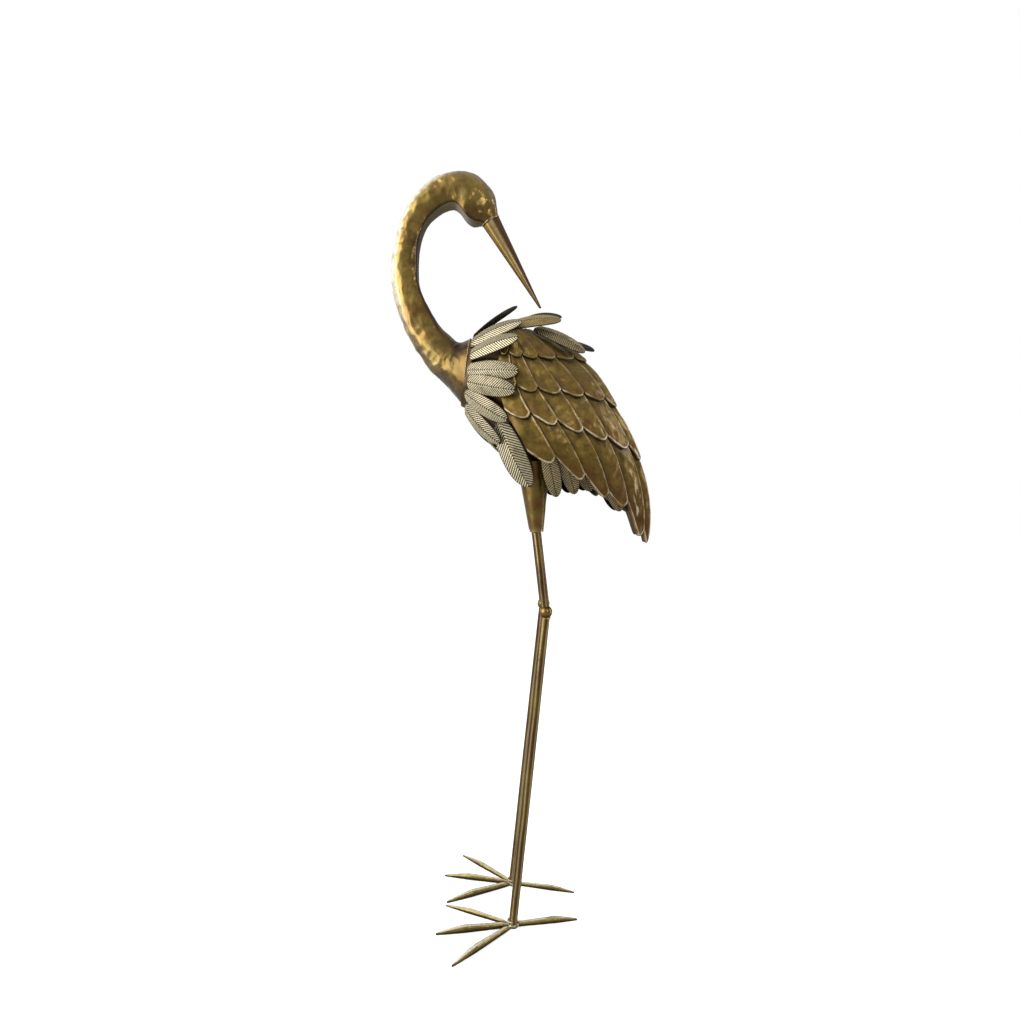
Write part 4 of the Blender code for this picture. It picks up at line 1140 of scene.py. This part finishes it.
# Thin paint on metal that melted smooth: small silvery glints with little colour.
weld_paint = painted_iron(
    "thin gold paint on weld metal",
    deep="#4a4234", body="#8b8062", light="#aca183", wear_and_highlight="#ded8c6",
    patch_mm=5, grain_mm=1.2, metallic=0.9, roughness=0.26, bump_mm=0.1,
)
circle = full_turn(60)
circle = np.stack([np.cos(circle), np.sin(circle), 0 * circle], axis=1)
for side, flip in SIDES:
    foot = np.array((*ANKLES[side], 0)) * HEIGHT + STANCE
    knee = np.array(KNEE) * (1, flip, 1) * HEIGHT + STANCE
    low = foot + circle * (WELD_RADIUS - WELD_BEAD_RADIUS * 0.4) + (0, 0, LOW_RING_HEIGHT)
    weld_rope(f"ankle_weld_{side}", low, circle, WELD_BEAD_RADIUS * 0.9, 7, weld_paint)
    high = foot + circle * (ANKLE_RADIUS * 0.8) - (WELD_BEAD_RADIUS, 0, -HIGH_RING_HEIGHT)
    weld_rope(f"ankle_weld_top_{side}", high, circle, WELD_BEAD_RADIUS * 0.8, 6, weld_paint)
    rim = knee + circle * LOWER_ROD_RADIUS * 0.86 - (0, 0, KNEE_RADIUS * 0.9)
    weld_rope(f"knee_weld_{side}", rim, circle, KNEE_BEAD_RADIUS, 8, rod_paint)


# Studio. A pale floor and soft light: a large panel on the breast side, a weaker one behind the tail
# and a small one at the right front for glints, with a camera a little above the crane's middle.

CAMERA_PLACE = (-0.0161, -0.8927, 0.5916)
PHOTO_PIXELS = 1020
FOCAL_PIXELS = 660
DIP_PIXELS = 30
SENSOR_WIDTH = 36
FLOOR_SIZE = 12.0
FLOOR_MIRRORED = "#a8a8a8"
FLOOR_GLOW = 0.55
FLOOR_SEEN = "#fafafa"
# How the world's light changes along each axis: from where to where, and its strength at both.
WORLD_SLOPES = (("X", 0.0, -0.9, 0.12, 1.1), ("Y", -0.6, 0.6, 0.20, 0.06), ("Z", 0.25, 0.9, 0.0, 0.35))

floor_mesh = bpy.data.meshes.new("floor")
corners = np.array(((-1, -1, 0), (1, -1, 0), (1, 1, 0), (-1, 1, 0))) * FLOOR_SIZE / 2
floor_mesh.from_pydata(corners.tolist(), [], [(0, 1, 2, 3)])
floor = linked("floor", floor_mesh)
floor_paint = bpy.data.materials.new("white studio floor")
floor_paint.use_nodes = True
tree = floor_paint.node_tree
# The camera sees the floor and the world white; what the paint mirrors of them is darker.
seen = add_node(tree, "ShaderNodeLightPath").outputs["Is Camera Ray"]
tone = add_node(
    tree, "ShaderNodeMix", {0: seen, 6: linear(FLOOR_MIRRORED), 7: linear(FLOOR_SEEN)}, data_type="RGBA"
).outputs[2]
glow = add_node(tree, "ShaderNodeMath", {0: seen, 1: FLOOR_GLOW}, operation="MULTIPLY").outputs[0]
shader = tree.nodes["Principled BSDF"]
tree.links.new(tone, shader.inputs["Base Color"])
tree.links.new(glow, shader.inputs["Emission Strength"])
shader.inputs["Emission Color"].default_value = linear("#ffffff")
shader.inputs["Roughness"].default_value = 0.9
floor_mesh.materials.append(floor_paint)


def softbox(name, place, target, width, height, power):
    """A rectangular soft light that looks at a point."""
    lamp = bpy.data.lights.new(name, "AREA")
    lamp.shape = "RECTANGLE"
    lamp.size, lamp.size_y, lamp.energy = width, height, power
    item = linked(name, lamp)
    item.location = place
    aim = np.array(target) - np.array(place)
    yaw = math.atan2(aim[1], aim[0])
    pitch = math.atan2(math.hypot(aim[0], aim[1]), -aim[2])
    item.rotation_euler = (pitch, 0, yaw - math.pi / 2)


softbox("side_box", (-1.6, -0.8, 1.15), (0, 0, 0.75), 1.4, 1.9, 24)
softbox("back_box", (1.7, 0.2, 0.8), (0, 0, 0.5), 0.3, 1.8, 8)
softbox("glint_box", (0.9, -1.5, 1.3), (0, 0, 0.6), 0.25, 0.6, 4)

world = bpy.data.worlds.new("studio")
bpy.context.scene.world = world
world.use_nodes = True
tree = world.node_tree
direction = add_node(tree, "ShaderNodeTexCoord").outputs["Generated"]
split = add_node(tree, "ShaderNodeSeparateXYZ", {0: direction})
level = 0.0
for axis, start, end, low, high in WORLD_SLOPES:
    share = add_node(
        tree,
        "ShaderNodeMapRange",
        {"Value": split.outputs[axis], "From Min": start, "From Max": end, "To Min": low, "To Max": high},
        interpolation_type="SMOOTHSTEP",
    ).outputs["Result"]
    level = add_node(tree, "ShaderNodeMath", {0: level, 1: share}, operation="ADD").outputs[0]
seen = add_node(tree, "ShaderNodeLightPath").outputs["Is Camera Ray"]
level = add_node(tree, "ShaderNodeMix", {0: seen, 2: level, 3: 1.0}).outputs[0]
tree.links.new(level, tree.nodes["Background"].inputs["Strength"])
tree.nodes["Background"].inputs["Color"].default_value = linear("#ffffff")
bpy.context.scene.view_settings.view_transform = "Standard"

camera_data = bpy.data.cameras.new("camera")
camera_data.sensor_width = SENSOR_WIDTH
camera_data.lens = SENSOR_WIDTH * FOCAL_PIXELS / PHOTO_PIXELS
camera = linked("camera", camera_data)
camera.location = CAMERA_PLACE
camera.rotation_euler = (math.pi / 2 - math.atan(DIP_PIXELS / FOCAL_PIXELS), 0, 0)
bpy.context.scene.camera = camera
